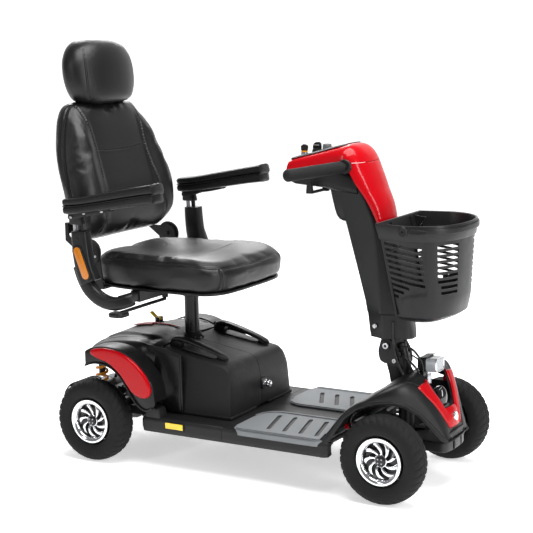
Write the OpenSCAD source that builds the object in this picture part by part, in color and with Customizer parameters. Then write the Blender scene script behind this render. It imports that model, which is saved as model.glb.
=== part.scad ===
// Four-wheel mobility scooter with a swivel seat, a tilting tiller and a front basket.
// Millimetres. +X points forward, +Y to the rider's left, +Z up, and the ground is at z = 0.
// Every module is written from the rear axle (x = 0) and moved to the middle of the scooter's
// length by from_rear_axle(), so the origin is below the middle of the whole object.

/* [Wheels] */
// Outside diameter of every tyre
tyre_d = 230; // [226:1:232]
// Width of every tyre
tyre_w = 73; // [66:1:74]
// Distance between the axles
wheelbase = 877; // [872:1:882]
// Rear track, from tyre middle to tyre middle
rear_track = 476; // [472:1:484]
// Front track, from tyre middle to tyre middle
front_track = 428; // [424:1:432]

/* [Deck and covers] */
// Height of the top of the deck
deck_z = 142; // [141:0.5:144]
// Half the width of the deck
deck_half_w = 222; // [214:1:226]
// Wall thickness of the moulded covers
cover_t = 3; // [2:0.5:4]
// Front end of the battery packs
battery_front = 398; // [380:1:405]

/* [Steering] */
// Distance from the rear axle to the steering shaft
steer_x = 845; // [843:1:847]
// Length of the three parallel steering cranks
crank = 55; // [50:1:58]
// Distance of each kingpin from the middle of the scooter
kingpin_y = 160; // [159:0.5:161]
// Distance from the rear axle to the tiller hinge
tiller_x = 804; // [800:1:806]
// Height of the tiller hinge
tiller_z = 364; // [360:1:366]
// Lean of the tiller column towards the rider
column_lean = 12; // [10:1:14]

/* [Seat] */
// Distance from the rear axle to the seat post
post_x = 176; // [174:1:180]
// Diameter of the seat post
post_d = 41; // [38:0.5:44]
// Height of the seat frame's plate
seat_z = 478; // [476:1:480]
// Distance from the rear axle to the backrest hinge
recline_x = -28; // [-30:1:-26]
// Height of the backrest hinge
recline_z = 583; // [580:1:586]
// Distance of each armrest from the middle of the seat
arm_y = 281; // [280:1:284]
// Height of the armrest hinge
arm_z = 693; // [691:1:695]

/* [Hidden] */
$fn = 48;
smooth = 32;

rear_axle_x = -413;
tyre_r = tyre_d / 2;
axle_z = tyre_r;
pivot_x = 150;
pivot_z = 118;
spring_x = -30;
spring_y = 160;
spring_seat_z = 146;
spring_top_z = 264;
frame_z = 106;
frame_top = 131;
rail_y = 55;
arm_plane_z = 93;
crank_x = wheelbase - crank;
pitman_x = steer_x - crank;
shaft_r = 12.5;
pin_r = 8;
fit = 0.05;
battery_rear = 172;
battery_side = 168;
lift_gap = 0.3;
tube_x = 120;
tube_z = 468;
lean_back = 10;
boss_x = 905;
boss_z = 686;

// ---------------------------------------------------------------- shared shapes

module from_rear_axle() { translate([rear_axle_x, 0, 0]) children(); }

// A shape on the left side, or its mirror image on the right side
module on_side(left) {
    if (left) children();
    else mirror([0, 1, 0]) children();
}

module both_sides() {
    children();
    mirror([0, 1, 0]) children();
}

// A box from one corner to the opposite corner
module block(low, high) { translate(low) cube(high - low); }

// A rod along Y between y0 and y1
module rod_y(r, x, z, y0, y1) { translate([x, y1, z]) rotate([90, 0, 0]) cylinder(r = r, h = y1 - y0); }

// A rod along Z between z0 and z1
module rod_z(r, x, y, z0, z1) { translate([x, y, z0]) cylinder(r = r, h = z1 - z0); }

// A flat side view (x, z) given thickness from y0 to y1
module plate_y(y0, y1) { translate([0, y1, 0]) rotate([90, 0, 0]) linear_extrude(y1 - y0) children(); }

function arc(cx, cy, r, a0, a1, n) =
    [for (i = [0:n]) let(a = a0 + (a1 - a0) * i / n) [cx + r * cos(a), cy + r * sin(a)]];

// Closed rounded outline: e = 2 is an ellipse, and higher values are squarer
function oval(hw, hh, e, n) =
    [for (i = [0:n - 1]) let(a = 360 * (i + 0.5) / n, c = cos(a), s = sin(a))
        [hw * sign(c) * pow(abs(c), 2 / e), hh * sign(s) * pow(abs(s), 2 / e)]];

// Open arch from +w over the top to -w: p sets how square its shoulders are
function arch(w, z_edge, z_top, p, n) =
    [for (i = [0:n]) let(a = 180 * i / n, c = cos(a), s = sin(a))
        [w * sign(c) * pow(abs(c), 2 / p), z_edge + (z_top - z_edge) * pow(abs(s), 2 / p)]];

function left_normal(p, q) = let(d = q - p, l = max(norm(d), 0.001)) [-d[1] / l, d[0] / l];

// The same open path, moved to its left by t
function inset(pts, t) =
    [for (i = [0:len(pts) - 1])
        pts[i] + t * left_normal(pts[max(i - 1, 0)], pts[min(i + 1, len(pts) - 1)])];

// Closed strip of thickness t on the left of an open path
function strip(pts, t) =
    let(inner = inset(pts, t)) concat(pts, [for (i = [len(pts) - 1:-1:0]) inner[i]]);

function at_x(x, pts) = [for (p = pts) [x, p[0], p[1]]];
function at_z(z, pts) = [for (p = pts) [p[0], p[1], z]];
function moved(pts, dx, dy) = [for (p = pts) [p[0] + dx, p[1] + dy]];

// Skin through a stack of equal loops: with ring the last loop joins the first, without it both
// ends are capped
module loft(loops, ring = false) {
    n = len(loops[0]);
    m = len(loops);
    points = [for (l = loops) each l];
    rows = ring ? m : m - 1;
    sides = [for (j = [0:rows - 1], i = [0:n - 1])
        let(k = (j + 1) % m, a = j * n + i, b = j * n + (i + 1) % n, c = k * n + (i + 1) % n, d = k * n + i)
        each [[c, b, a], [d, c, a]]];
    low_cap = [for (i = [0:n - 1]) i];
    high_cap = [for (i = [n - 1:-1:0]) (m - 1) * n + i];
    polyhedron(points = points, faces = ring ? sides : concat(sides, [low_cap, high_cap]));
}

// Tube swept along a hand-placed route
module tube_along(route, r, sides) {
    function ring_at(i) =
        let(a = route[max(i - 1, 0)], b = route[min(i + 1, len(route) - 1)],
            t = (b - a) / norm(b - a), u0 = cross(t, [0, 1, 0.01]), u = u0 / norm(u0), v = cross(t, u))
        [for (k = [0:sides - 1]) route[i] + r * (cos(360 * k / sides) * u + sin(360 * k / sides) * v)];
    loft([for (i = [0:len(route) - 1]) ring_at(i)]);
}

// ---------------------------------------------------------------- wheels

module tyre(y) {
    section = 27;
    color("#1c1c1d") translate([0, y, axle_z]) rotate([90, 0, 0]) rotate_extrude($fn = 96)
        translate([tyre_r - section, 0])
            polygon([for (p = oval(section, tyre_w / 2, 2.6, 28)) p]);
}

// Rim turned about Y with its dished face towards +Y: bore is the radius of its blind axle bore
module rim(y, bore) {
    spokes = 8;
    face = 29.6;
    ring_r = 62.3;
    color("#c9cbcf") translate([0, y, axle_z]) rotate([-90, 0, 0]) difference() {
        rotate_extrude($fn = 96) polygon([
            [0, 4], [bore, 4], [bore, -28], [18, -28], [18, -2], [52, -2], [52, -27], [60.6, -27],
            [60.6, -23], [58, -19], [58, 19], [60.6, 23], [ring_r, 24], [ring_r, face],
            [48, face], [47, 27], [51, 18], [51, 5], [20, 7], [18, 10], [0, 10]
        ]);
        for (i = [0:spokes - 1]) rotate([0, 0, i * 360 / spokes]) translate([0, 0, -6])
            linear_extrude(18) polygon(concat(arc(0, 0, 48, -15, 15, 4), arc(0, 0, 25, 8, -8, 2)));
    }
}

module rear_tyre(left) { from_rear_axle() on_side(left) tyre(rear_track / 2); }
module front_tyre(left) {
    from_rear_axle() translate([wheelbase, 0, 0]) on_side(left) tyre(front_track / 2);
}

// The rear rims carry their own half shaft, which turns in the transaxle's tube
module rear_rim(left) {
    half_shaft_r = 8.95;
    from_rear_axle() on_side(left) {
        rim(rear_track / 2, half_shaft_r);
        color("#8f9296") rod_y(half_shaft_r, 0, axle_z, 50, rear_track / 2 + 4);
    }
}
module front_rim(left) {
    from_rear_axle() translate([wheelbase, 0, 0]) on_side(left) rim(front_track / 2, pin_r);
}

module rear_tyre_left() { rear_tyre(true); }
module rear_tyre_right() { rear_tyre(false); }
module rear_rim_left() { rear_rim(true); }
module rear_rim_right() { rear_rim(false); }
module front_tyre_left() { front_tyre(true); }
module front_tyre_right() { front_tyre(false); }
module front_rim_left() { front_rim(true); }
module front_rim_right() { front_rim(false); }

// ---------------------------------------------------------------- chassis

module chassis_frame() {
    rail_half = 12.5;
    tube_r = 27;
    color("#202123") from_rear_axle() difference() {
        union() {
            both_sides() {
                block([pivot_x - 14, rail_y - rail_half, frame_z], [wheelbase, rail_y + rail_half, frame_top - 3]);
                block([160, rail_y - rail_half, frame_top - 3.1], [700, rail_y + rail_half, frame_top]);
                // upper rails and outriggers that the springs push against
                block([-46, 62, spring_top_z], [168, 80, spring_top_z + 18]);
                block([-46, 79, spring_top_z], [-14, 168, spring_top_z + 6]);
                rod_z(9, spring_x, spring_y, 224, spring_top_z + 1);
                rod_z(13, wheelbase, kingpin_y, frame_z, 124);
                rod_y(pin_r, pivot_x, pivot_z, 60, 112);
                rod_y(12.5, pivot_x, pivot_z, 40, 80);
            }
            // seat post socket and its plates
            rod_z(tube_r, post_x, 0, frame_z, 318);
            block([146, -50, frame_z], [206, 50, frame_z + 8]);
            block([post_x - 30, -70, spring_top_z + 2], [168, 70, spring_top_z + 16]);
            // cross tubes between the rails
            block([396, -50, frame_z], [420, 50, frame_z + 20]);
            block([600, -50, frame_z], [624, 50, frame_z + 20]);
            // front axle beam, steering head and bumper tongue
            block([wheelbase - 14, -148, frame_z], [wheelbase + 14, 148, 124]);
            block([steer_x - 30, -50, frame_z], [steer_x + 30, 50, frame_z + 8]);
            rod_z(21, steer_x, 0, frame_z, 245);
            block([wheelbase, -30, frame_z], [930, 30, 124]);
        }
        rod_z(post_d / 2 + fit, post_x, 0, frame_z + 20, 400);
        rod_z(shaft_r + fit, steer_x, 0, 60, 300);
        both_sides() rod_z(6 + fit, wheelbase, kingpin_y, 60, 200);
    }
}

module front_bumper() {
    color("#2c2d2f") from_rear_axle() difference() {
        block([930.2, -62.5, 104], [991, 62.5, 130]);
        // two holes in the front face, for a fastened accessory
        both_sides() translate([950, 18, 117]) rotate([0, 90, 0]) cylinder(r = 4, h = 60);
    }
}

// Tray that the rider's feet and the batteries stand on
module deck_pan() {
    outline = [
        [152, deck_half_w], [152, -deck_half_w], [704, -deck_half_w], [712, -212], [726, -112],
        [790, -100], [790, 100], [726, 112], [712, 212], [704, deck_half_w]
    ];
    color("#222325") from_rear_axle() difference() {
        union() {
            translate([0, 0, frame_top]) linear_extrude(deck_z - frame_top) polygon(outline);
            both_sides() {
                block([155, deck_half_w - 1, 102], [706, 236, deck_z + 1]);
                block([171, 196, deck_z - 1], [211, 232, 170]);
                block([300, 150, 94], [330, 200, frame_top + 1]);
                block([470, 150, 94], [500, 200, frame_top + 1]);
            }
        }
        rod_z(28.5, post_x, 0, 100, 200);
        rod_z(24, steer_x, 0, 100, 200);
        both_sides() block([160, deck_half_w + 2, 90], [702, 232, 137]);
    }
}

// Two ribbed mats that turn down over the deck's edge
module floor_mats() {
    mat_t = 3;
    lip = 240;
    color("#7c8084") from_rear_axle() both_sides() difference() {
        union() {
            block([443, 26, deck_z + 1.2], [706, lip, deck_z + 1.2 + mat_t]);
            block([452, 236.3, 128], [700, lip, deck_z + 2]);
        }
        for (i = [0:3]) translate([500 + 50 * i, 128, deck_z]) rotate([0, 0, 62])
            translate([-52, -3.5, -3]) cube([104, 7, 12]);
    }
}

// ---------------------------------------------------------------- rear covers

// Rows of x, half width, edge height, top height and squareness
shroud_rows = [
    [-82, 150, 268, 300, 3], [-60, 170, 262, 318, 4], [-20, 186, 258, 332, 5], [40, 191, 256, 342, 6],
    [90, 191, 256, 344, 6], [120, 191, 240, 341, 7], [143, 191, 170, 337, 8]
];

function cover_row(r, t) = at_x(r[0], strip(arch(r[1], r[2], r[3], r[4], 18), t));

module rear_shroud() {
    r0 = shroud_rows[0];
    r1 = shroud_rows[len(shroud_rows) - 1];
    edge = arch(191, 146, 334, 8, 18);
    gap = 0.2;
    color("#242527") from_rear_axle() {
        loft([for (r = shroud_rows) cover_row(r, cover_t)]);
        // tail panel, and the two halves of the front edge on each side of the seat post
        translate([r0[0] - cover_t - gap, 0, 0]) rotate([90, 0, 90]) linear_extrude(cover_t)
            polygon(arch(r0[1], r0[2], r0[3], r0[4], 18));
        both_sides() translate([r1[0] + gap, 0, 0]) rotate([90, 0, 90]) linear_extrude(26)
            polygon(strip(concat([for (i = [0:8]) edge[i]], [[34, 334]]), cover_t));
    }
}

// Side view of a rear fender: lower edge from the tail forwards, then back over the top
fender_edge = concat(
    [[-15, 274], [30, 282]], arc(0, 115, 168, 68, 26, 6), [[178, 167], [203, 174]]
);
fender_top = [[210, 195], [203, 230], [185, 268], [146, 306], [101, 327], [54, 330], [-15, 314]];

module rear_fenders() {
    color("#242527") from_rear_axle() both_sides() {
        plate_y(250, 253) polygon(concat(fender_edge, fender_top));
        plate_y(193.5, 250) polygon(strip(fender_top, cover_t));
    }
}

module rear_fender_trims() {
    color("#c8101c") from_rear_axle() both_sides() plate_y(253.2, 258) polygon([
        [16, 302], [63, 287], [100, 262], [128, 230], [150, 210], [172, 201], [188, 201], [200, 212],
        [201, 230], [184, 266], [145, 303], [101, 323], [54, 326], [6, 318]
    ]);
}

module controller_box() {
    color("#55585c") from_rear_axle() block([40, -58, 270], [118, 30, 318]);
}

// ---------------------------------------------------------------- batteries

// Carry handle that stands on the pack's lid, with a finger gap below its blade
module carry_handle() {
    plate_y(108, 124) difference() {
        polygon([[190, 318], [196, 342], [214, 346], [352, 305], [362, 299], [356, 290]]);
        polygon([[216, 326], [222, 334], [318, 305.5], [310, 300]]);
    }
}

module battery_case(left) {
    wall = 3.5;
    outer = [[battery_rear, deck_z + lift_gap], [battery_front, deck_z + lift_gap], [392, 252],
             [380, 284], [battery_rear, 322]];
    inner = [[battery_rear + wall, 146], [battery_front - wall, 146], [388, 250], [377, 280],
             [battery_rear + wall, 317]];
    color("#2b2c2e") from_rear_axle() on_side(left) {
        difference() {
            union() {
                plate_y(0.6, battery_side - 8) polygon(outer);
                plate_y(battery_side - 8, battery_side) polygon([
                    [battery_rear, deck_z + lift_gap], [battery_front - 6, deck_z + lift_gap], [386, 248],
                    [374, 276], [battery_rear, 312]
                ]);
            }
            plate_y(0.6 + wall, battery_side - wall) polygon(inner);
            rod_z(33, post_x, 0, 100, 400);
        }
        carry_handle();
    }
}

// Two sealed cells in each pack
module battery_cells(left) {
    color("#5b5f63") from_rear_axle() on_side(left)
        for (x = [212, 300]) block([x, 36, 147], [x + 78, 156, 248]);
}

module battery_case_left() { battery_case(true); }
module battery_case_right() { battery_case(false); }
module battery_cells_left() { battery_cells(true); }
module battery_cells_right() { battery_cells(false); }

// ---------------------------------------------------------------- rear drive

module swing_arm() {
    axle_tube_r = 22.1;
    wheel_arm_y = 64;
    color("#2a2b2d") from_rear_axle() difference() {
        union() {
            both_sides() {
                block([-64, 85, 104], [pivot_x, 110, 128]);
                rod_y(30, 0, axle_z, 85, 110);
                rod_y(12.7, pivot_x, pivot_z, 85, 110);
                block([-50, 85, 126], [-10, 110, spring_seat_z]);
                block([-50, 108, 140], [-10, 182, spring_seat_z]);
                rod_z(9, spring_x, spring_y, spring_seat_z - 1, 188);
                // forks of the anti-tip wheels
                block([-202, wheel_arm_y - 4, 50], [-64, wheel_arm_y + 4, 64]);
                block([-76, wheel_arm_y - 4, 50], [-63, wheel_arm_y + 4, 128]);
                block([-76, wheel_arm_y - 4, 104], [-63, 110, 128]);
                rod_y(11, -190, 40, wheel_arm_y - 4, wheel_arm_y + 4);
                block([-198, wheel_arm_y - 4, 40], [-182, wheel_arm_y + 4, 60]);
            }
        }
        both_sides() {
            rod_y(axle_tube_r, 0, axle_z, 80, 120);
            rod_y(pin_r + fit, pivot_x, pivot_z, 80, 120);
            rod_y(5 + fit, -190, 40, 50, 80);
        }
        block([-60, -84, 90], [60, 84, 235]);
    }
}

module transaxle() {
    color("#8d9093") from_rear_axle() difference() {
        union() {
            rod_y(22, 0, axle_z, -188, 188);
            block([-62, -44, 78], [58, 44, 158]);
            // drive motor and its brake cap, behind the axle
            rod_y(50, -130, 132, -150, -46);
            rod_y(38, -130, 132, -46, 40);
            block([-130, -44, 96], [-60, 40, 150]);
        }
        both_sides() rod_y(9, 0, axle_z, 48, 200);
    }
}

module suspension_springs() {
    turns = 5;
    steps = 14;
    wire_r = 3.6;
    coil_r = 14.4;
    low = spring_seat_z + wire_r + 0.3;
    rise = spring_top_z - 0.3 - wire_r - low;
    color("#e08a1e") from_rear_axle() both_sides() translate([spring_x, spring_y, low])
        tube_along([for (i = [0:turns * steps]) let(a = 360 * i / steps)
            [coil_r * cos(a), coil_r * sin(a), rise * i / (turns * steps)]], wire_r, 8);
}

// Lever that unlocks the drive, turned about Y on top of the shroud
module freewheel_lever() {
    color("#e6b800") from_rear_axle() {
        rod_y(4.5, 27, 350, 44, 58);
        block([8, 47, 348], [27, 55, 354]);
    }
}

module anti_tip_wheels() {
    color("#303133") from_rear_axle() {
        rod_y(5, -190, 40, -88, 88);
        both_sides() rod_y(25, -190, 40, 70, 86);
    }
}

// ---------------------------------------------------------------- steering

module knuckle(left) {
    web = 14.2;
    color("#35373a") from_rear_axle() on_side(left) translate([wheelbase, kingpin_y, 0]) difference() {
        union() {
            cylinder(r = 6, h = 142);
            for (z = [arm_plane_z, 127]) {
                rod_z(14, 0, 0, z, z + 10);
                block([-12, 0, z], [12, 24, z + 10]);
            }
            block([-12, web, arm_plane_z], [12, 24, 137]);
            rod_y(pin_r - fit, 0, axle_z, 20, front_track / 2 - kingpin_y + 3);
            block([-crank, -7, arm_plane_z], [0, 7, arm_plane_z + 10]);
            rod_z(9, -crank, 0, arm_plane_z, arm_plane_z + 10);
        }
        rod_z(4 + fit, -crank, 0, 60, 140);
        block([-20, -20, 0], [20, 20, 88]);
    }
}
module knuckle_left() { knuckle(true); }
module knuckle_right() { knuckle(false); }

module tie_rod() {
    color("#9a9da1") from_rear_axle() {
        block([crank_x - 5, -kingpin_y, 80], [crank_x + 5, kingpin_y, 88]);
        both_sides() {
            rod_z(8, crank_x, kingpin_y, 80, 88.1);
            rod_z(4, crank_x, kingpin_y, 84, 104);
        }
        block([pitman_x, -8, 80], [crank_x, 8, 88]);
        rod_z(10, pitman_x, 0, 80, 88.1);
        rod_z(4, pitman_x, 0, 84, 104);
    }
}

// Side view of the stem's ears, round the tiller hinge
stem_ear = concat(arc(tiller_x, tiller_z, 24, 20, 235, 14), [[822, 264], [868, 264], [868, 288]]);

module steering_stem() {
    color("#2b2c2e") from_rear_axle() difference() {
        union() {
            rod_z(shaft_r, steer_x, 0, 90, 262);
            rod_z(17, steer_x, 0, arm_plane_z, arm_plane_z + 10);
            block([pitman_x, -9, arm_plane_z], [steer_x, 9, arm_plane_z + 10]);
            rod_z(10, pitman_x, 0, arm_plane_z, arm_plane_z + 10);
            rod_z(24, steer_x, 0, 247, 270);
            both_sides() plate_y(30, 40) polygon(stem_ear);
            block([832, -34, 264], [868, 34, 296]);
            block([860, -12, 284], [892.8, 12, 312]);
        }
        rod_z(4 + fit, pitman_x, 0, 60, 140);
        rod_y(pin_r + fit, tiller_x, tiller_z, -60, 60);
    }
}

module headlight() {
    color("#d8dde2") from_rear_axle() hull() {
        block([893, -25, 302], [897, 25, 338]);
        block([915, -27, 299], [920, 27, 341]);
    }
}

// ---------------------------------------------------------------- front covers

// Rows of x, half width, edge height, top height and squareness
fender_rows = [
    [708, 228, 145, 154, 10], [722, 232, 132, 170, 8], [745, 230, 176, 200, 6], [770, 226, 212, 231, 6],
    [800, 216, 236, 254, 5], [823, 205, 244, 266, 4], [850, 190, 250, 277, 3.6], [880, 168, 248, 288, 3.2],
    [905, 142, 238, 290, 3], [930, 112, 214, 274, 3], [955, 88, 178, 232, 3], [978, 70, 140, 180, 3],
    [990, 64, 132, 142, 3]
];

module front_fender() {
    color("#2a2b2d") from_rear_axle() difference() {
        loft([for (r = fender_rows) cover_row(r, cover_t)]);
        block([818, -56, 200], [938, 56, 320]);
    }
}

// Half of the red V on the nose: a strip that lies on the fender between two of its stations
function row_at(x) = [for (c = [0:4]) lookup(x, [for (r = fender_rows) [r[0], r[c]]])];
function nose_point(x, u, up) =
    let(r = row_at(x), s = pow(1 - pow(abs(u), r[4]), 1 / r[4]))
    [x + 0.5 * up, r[1] * u, r[2] + (r[3] - r[2]) * s + up];

module front_trim() {
    rows = [[928, 0.62, 0.93], [945, 0.5, 0.9], [960, 0.3, 0.85], [972, 0.02, 0.75], [984, 0.02, 0.5]];
    us = [0, 0.25, 0.5, 0.75, 1];
    color("#c8101c") from_rear_axle() both_sides() loft([for (r = rows) concat(
        [for (k = us) nose_point(r[0], r[2] + (r[1] - r[2]) * k, 3.4)],
        [for (k = us) nose_point(r[0], r[1] + (r[2] - r[1]) * k, 1.2)]
    )]);
}

// ---------------------------------------------------------------- tiller

module tiller_frame() {
    color("#2f3134") from_rear_axle() difference() {
        union() {
            rod_y(22, tiller_x, tiller_z, -29.6, 29.6);
            rod_y(pin_r, tiller_x, tiller_z, -45, 45);
            both_sides() rod_y(12, tiller_x, tiller_z, 40.4, 45);
            translate([tiller_x, 0, tiller_z]) rotate([0, -column_lean, 0])
                block([-18, -24, 0], [18, 24, 380]);
            block([694, -18, 728], [726, 18, 822]);
            // hook bar for the basket
            block([738, -20, 630], [831, 20, 639]);
            block([826, -40, 630], [831, 40, 650]);
        }
    }
}

// Rows of height, rear x, front x and half width
column_rows = [
    [383, 750, 866, 54], [448, 745, 861, 54], [453, 742, 857, 50], [560, 714, 836, 48],
    [640, 692, 821, 47], [686, 678, 800, 46], [710, 659, 776, 46], [740, 645, 752, 46], [769, 634, 734, 46]
];

function column_loop(r, t) = at_z(r[0], moved(oval((r[2] - r[1]) / 2 - t, r[3] - t, 3.2, 28), (r[1] + r[2]) / 2, 0));

// Hollow cover of the column, open at both ends
module tiller_cover() {
    color("#343538") from_rear_axle() difference() {
        loft(concat(
            [for (r = column_rows) column_loop(r, 0)],
            [for (i = [len(column_rows) - 1:-1:0]) column_loop(column_rows[i], cover_t)]
        ), ring = true);
        block([760, -20.5, 629.5], [850, 20.5, 639.5]);
    }
}

// Rows of x, half width, edge height, top height and squareness of the red head
head_rows = [
    [529, 60, 818, 840, 4], [560, 68, 815, 846, 4], [620, 74, 817, 857, 4], [660, 78, 824, 870, 3.6],
    [682, 79, 846, 883, 3.3], [697, 80, 846, 889, 3], [722, 76, 846, 884, 2.6], [745, 66, 846, 868, 2.4],
    [758, 50, 846, 854, 2.4]
];
// Rows of height, seam x, front x and half width of the fairing below it
fairing_rows = [
    [694, 790, 806, 22], [735, 757, 798, 46], [778, 731, 780, 60], [820, 718, 766, 72], [842, 718, 758, 78]
];

function fairing_loop(r) = at_z(r[0], strip([for (i = [0:16]) let(a = -90 + 180 * i / 16)
    [r[1] + (r[2] - r[1]) * pow(cos(a), 0.8), r[3] * sign(sin(a)) * pow(abs(sin(a)), 0.8)]], cover_t));

module tiller_cowl() {
    color("#d40f1e") from_rear_axle() {
        loft([for (r = head_rows) cover_row(r, cover_t)]);
        loft([for (r = fairing_rows) fairing_loop(r)]);
    }
}

// Black control panel on the head, and the tray that closes it from below
module console_panel() {
    color("#1f2022") from_rear_axle() difference() {
        union() {
            loft([for (r = [[534, 50, 841], [560, 54, 847], [620, 58, 858], [660, 58, 871], [688, 50, 886]])
                at_x(r[0], moved(oval(r[1], 3, 4, 20), 0, r[2] + 3.6))]);
            loft([for (r = [[531, 50, 797, 16], [545, 56, 796, 17], [620, 64, 794, 20], [690, 60, 796, 20]])
                at_x(r[0], moved(oval(r[1], r[3], 4, 24), 0, r[2]))]);
            rod_z(4, 612, 0, 754, 776);
        }
        rod_z(3 + fit, 557, -16, 846, 870);
        rod_z(3 + fit, 585, 4, 846, 870);
        rod_z(3 + fit, 620, -6, 854, 870);
        rod_z(5 + fit, 650, 24, 864, 890);
    }
}

// The bar sweeps back and out from a straight middle
grip_root = [705, 86, 833];
grip_tip = [629, 255, 824];
grip_dir = grip_tip - grip_root;
grip_length = norm(grip_dir);

module along_grip() {
    translate(grip_root) rotate([0, acos(grip_dir[2] / grip_length), atan2(grip_dir[1], grip_dir[0])]) children();
}

module handlebar() {
    bar_r = 11;
    color("#2c2d2f") from_rear_axle() both_sides() {
        rod_y(bar_r, grip_root[0], grip_root[2], 0, grip_root[1] + 3);
        along_grip() translate([0, 0, -5]) cylinder(r = bar_r, h = grip_length - 7);
    }
}

module handlebar_grips() {
    color("#1b1b1c") from_rear_axle() both_sides() along_grip() difference() {
        translate([0, 0, 12]) cylinder(r = 15.5, h = grip_length - 12);
        cylinder(r = 11 + fit, h = grip_length - 11);
    }
}

// Rocking lever under the head: push one end to go forwards, the other to go back
module throttle_lever() {
    color("#28292b") from_rear_axle() difference() {
        union() {
            rod_z(10, 612, 0, 758, 770);
            block([604, -92, 760], [616, 92, 767]);
            both_sides() block([598, 74, 760], [616, 92, 794]);
        }
        rod_z(4 + fit, 612, 0, 740, 790);
    }
}

module ignition_key() {
    color("#222325") from_rear_axle() {
        rod_z(3, 557, -16, 847.5, 856);
        rod_z(8, 557, -16, 855.4, 860);
        block([550, -18.5, 859], [564, -13.5, 878]);
    }
}

module speed_dial() {
    color("#2c2d30") from_rear_axle() {
        rod_z(3, 585, 4, 852.8, 862);
        rod_z(14, 585, 4, 861.6, 873);
        block([572, 1, 871], [598, 7, 886]);
    }
}

module light_knob() {
    color("#6d7075") from_rear_axle() {
        rod_z(3, 620, -6, 859.2, 870);
        rod_z(11, 620, -6, 869.2, 884);
    }
}

module horn_button() {
    color("#c7a21a") from_rear_axle() rod_z(5, 650, 24, 872, 881);
}

// D-shaped basket loop: straight back, slanted sides and a round front
function basket_loop(z, rear_x, rear_w, mid_x, mid_w, front_x, t) = at_z(z, concat(
    [[rear_x + t, -rear_w + t]],
    [for (i = [0:20]) let(a = -90 + 180 * i / 20)
        [mid_x + (front_x - t - mid_x) * pow(cos(a), 0.85), (mid_w - t) * sign(sin(a)) * pow(abs(sin(a)), 0.85)]],
    [[rear_x + t, rear_w - t]]
));

module basket() {
    color("#26272a") from_rear_axle() {
        loft([
            basket_loop(446, 880, 96, 920, 104, 980, 0), basket_loop(462, 868, 116, 915, 124, 1002, 0),
            basket_loop(660, 833, 130, 905, 144, 1016, 0), basket_loop(661, 830, 134, 905, 148, 1020, 0),
            basket_loop(700, 822, 135, 905, 148, 1022, 0), basket_loop(700, 822, 135, 905, 148, 1022, 3),
            basket_loop(661, 830, 134, 905, 148, 1020, 3.2), basket_loop(464, 868, 116, 915, 124, 1002, 3.2),
            basket_loop(449.5, 880, 96, 920, 104, 980, 3.2)
        ]);
        // hook that hangs on the tiller's bar, and the handle's pins
        block([822.5, -40, 650.6], [838, 40, 654]);
        block([822.5, -40, 641], [825.6, 40, 653]);
        both_sides() rod_y(5, boss_x, boss_z, 146.5, 158);
    }
}

// Carrying handle that lies round the front of the rim
module basket_handle() {
    path = concat([[boss_x, -151]], [for (i = [1:23]) let(a = -90 + 180 * i / 24)
        [boss_x + 122 * pow(cos(a), 0.85), 151 * sign(sin(a)) * pow(abs(sin(a)), 0.85)]], [[boss_x, 151]]);
    color("#232427") from_rear_axle() difference() {
        union() {
            translate([0, 0, boss_z - 7]) linear_extrude(14)
                polygon(strip([for (i = [len(path) - 1:-1:0]) path[i]], 4.5));
            both_sides() rod_y(11, boss_x, boss_z, 150.6, 156);
        }
        both_sides() rod_y(5 + fit, boss_x, boss_z, 140, 170);
    }
}

// Control lead, clipped along the stem from the column down into the nose
cable_route = [
    [826, -45, 430], [826, -45, 412], [826, -45, 396], [827, -45, 380], [829, -45, 364], [832, -45, 348],
    [837, -45, 332], [843, -44.5, 317], [850, -44.5, 303], [858, -45, 291], [867, -46, 281], [876, -43, 274],
    [885, -35, 268], [891, -25, 262], [893, -15, 255]
];

module tiller_cable() {
    color("#1a1a1b") from_rear_axle() tube_along(cable_route, 3.5, 8);
}

// ---------------------------------------------------------------- seat

module seat_post() {
    color("#17181a") from_rear_axle() {
        rod_z(post_d / 2, post_x, 0, 184, 472);
        rod_z(22.8, post_x, 0, 318.4, 328);
    }
}

// Swivel hub, cushion plate, arm tube and the hinge ears of the backrest
module seat_frame() {
    ear_y = 187;
    color("#1e1f21") from_rear_axle() difference() {
        union() {
            rod_z(34, post_x, 0, 456, seat_z);
            block([-20, -150, seat_z], [330, 150, seat_z + 6]);
            block([tube_x - 15, -196, tube_z - 15], [tube_x + 15, 196, tube_z + 15]);
            both_sides() {
                block([-58, 140, seat_z], [10, ear_y + 5, seat_z + 6]);
                plate_y(ear_y, ear_y + 5)
                    polygon(concat([[10, seat_z]], arc(recline_x, recline_z, 27, -10, 190, 14), [[-58, seat_z]]));
            }
        }
        rod_z(post_d / 2 + fit, post_x, 0, 400, 472 + fit);
        block([tube_x - 12.5, -200, tube_z - 12.5], [tube_x + 12.5, 200, tube_z + 12.5]);
        both_sides() rod_y(6 + fit, recline_x, recline_z, 170, 210);
    }
}

// Rows of x, half width, bottom and top of the seat cushion
cushion_rows = [
    [-45, 128, 500, 556], [-30, 148, 490, 566], [0, 168, 486, 572], [60, 192, 485, 578], [140, 210, 485, 584],
    [230, 212, 485, 586], [300, 204, 485, 582], [350, 190, 487, 570], [378, 172, 496, 556], [388, 150, 510, 544]
];

module seat_cushion() {
    color("#242528") from_rear_axle() loft([for (r = cushion_rows)
        at_x(r[0], moved(oval(r[1], (r[3] - r[2]) / 2, 4, smooth), 0, (r[2] + r[3]) / 2))]);
}

// Rows of height, half width, front x and rear x of the upholstered back
back_rows = [
    [606, 165, -36, -84], [616, 190, -28, -88], [650, 210, -24, -92], [730, 220, -26, -98],
    [800, 214, -38, -104], [860, 200, -50, -110], [920, 178, -66, -120], [966, 148, -84, -130], [984, 118, -100, -136]
];

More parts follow.
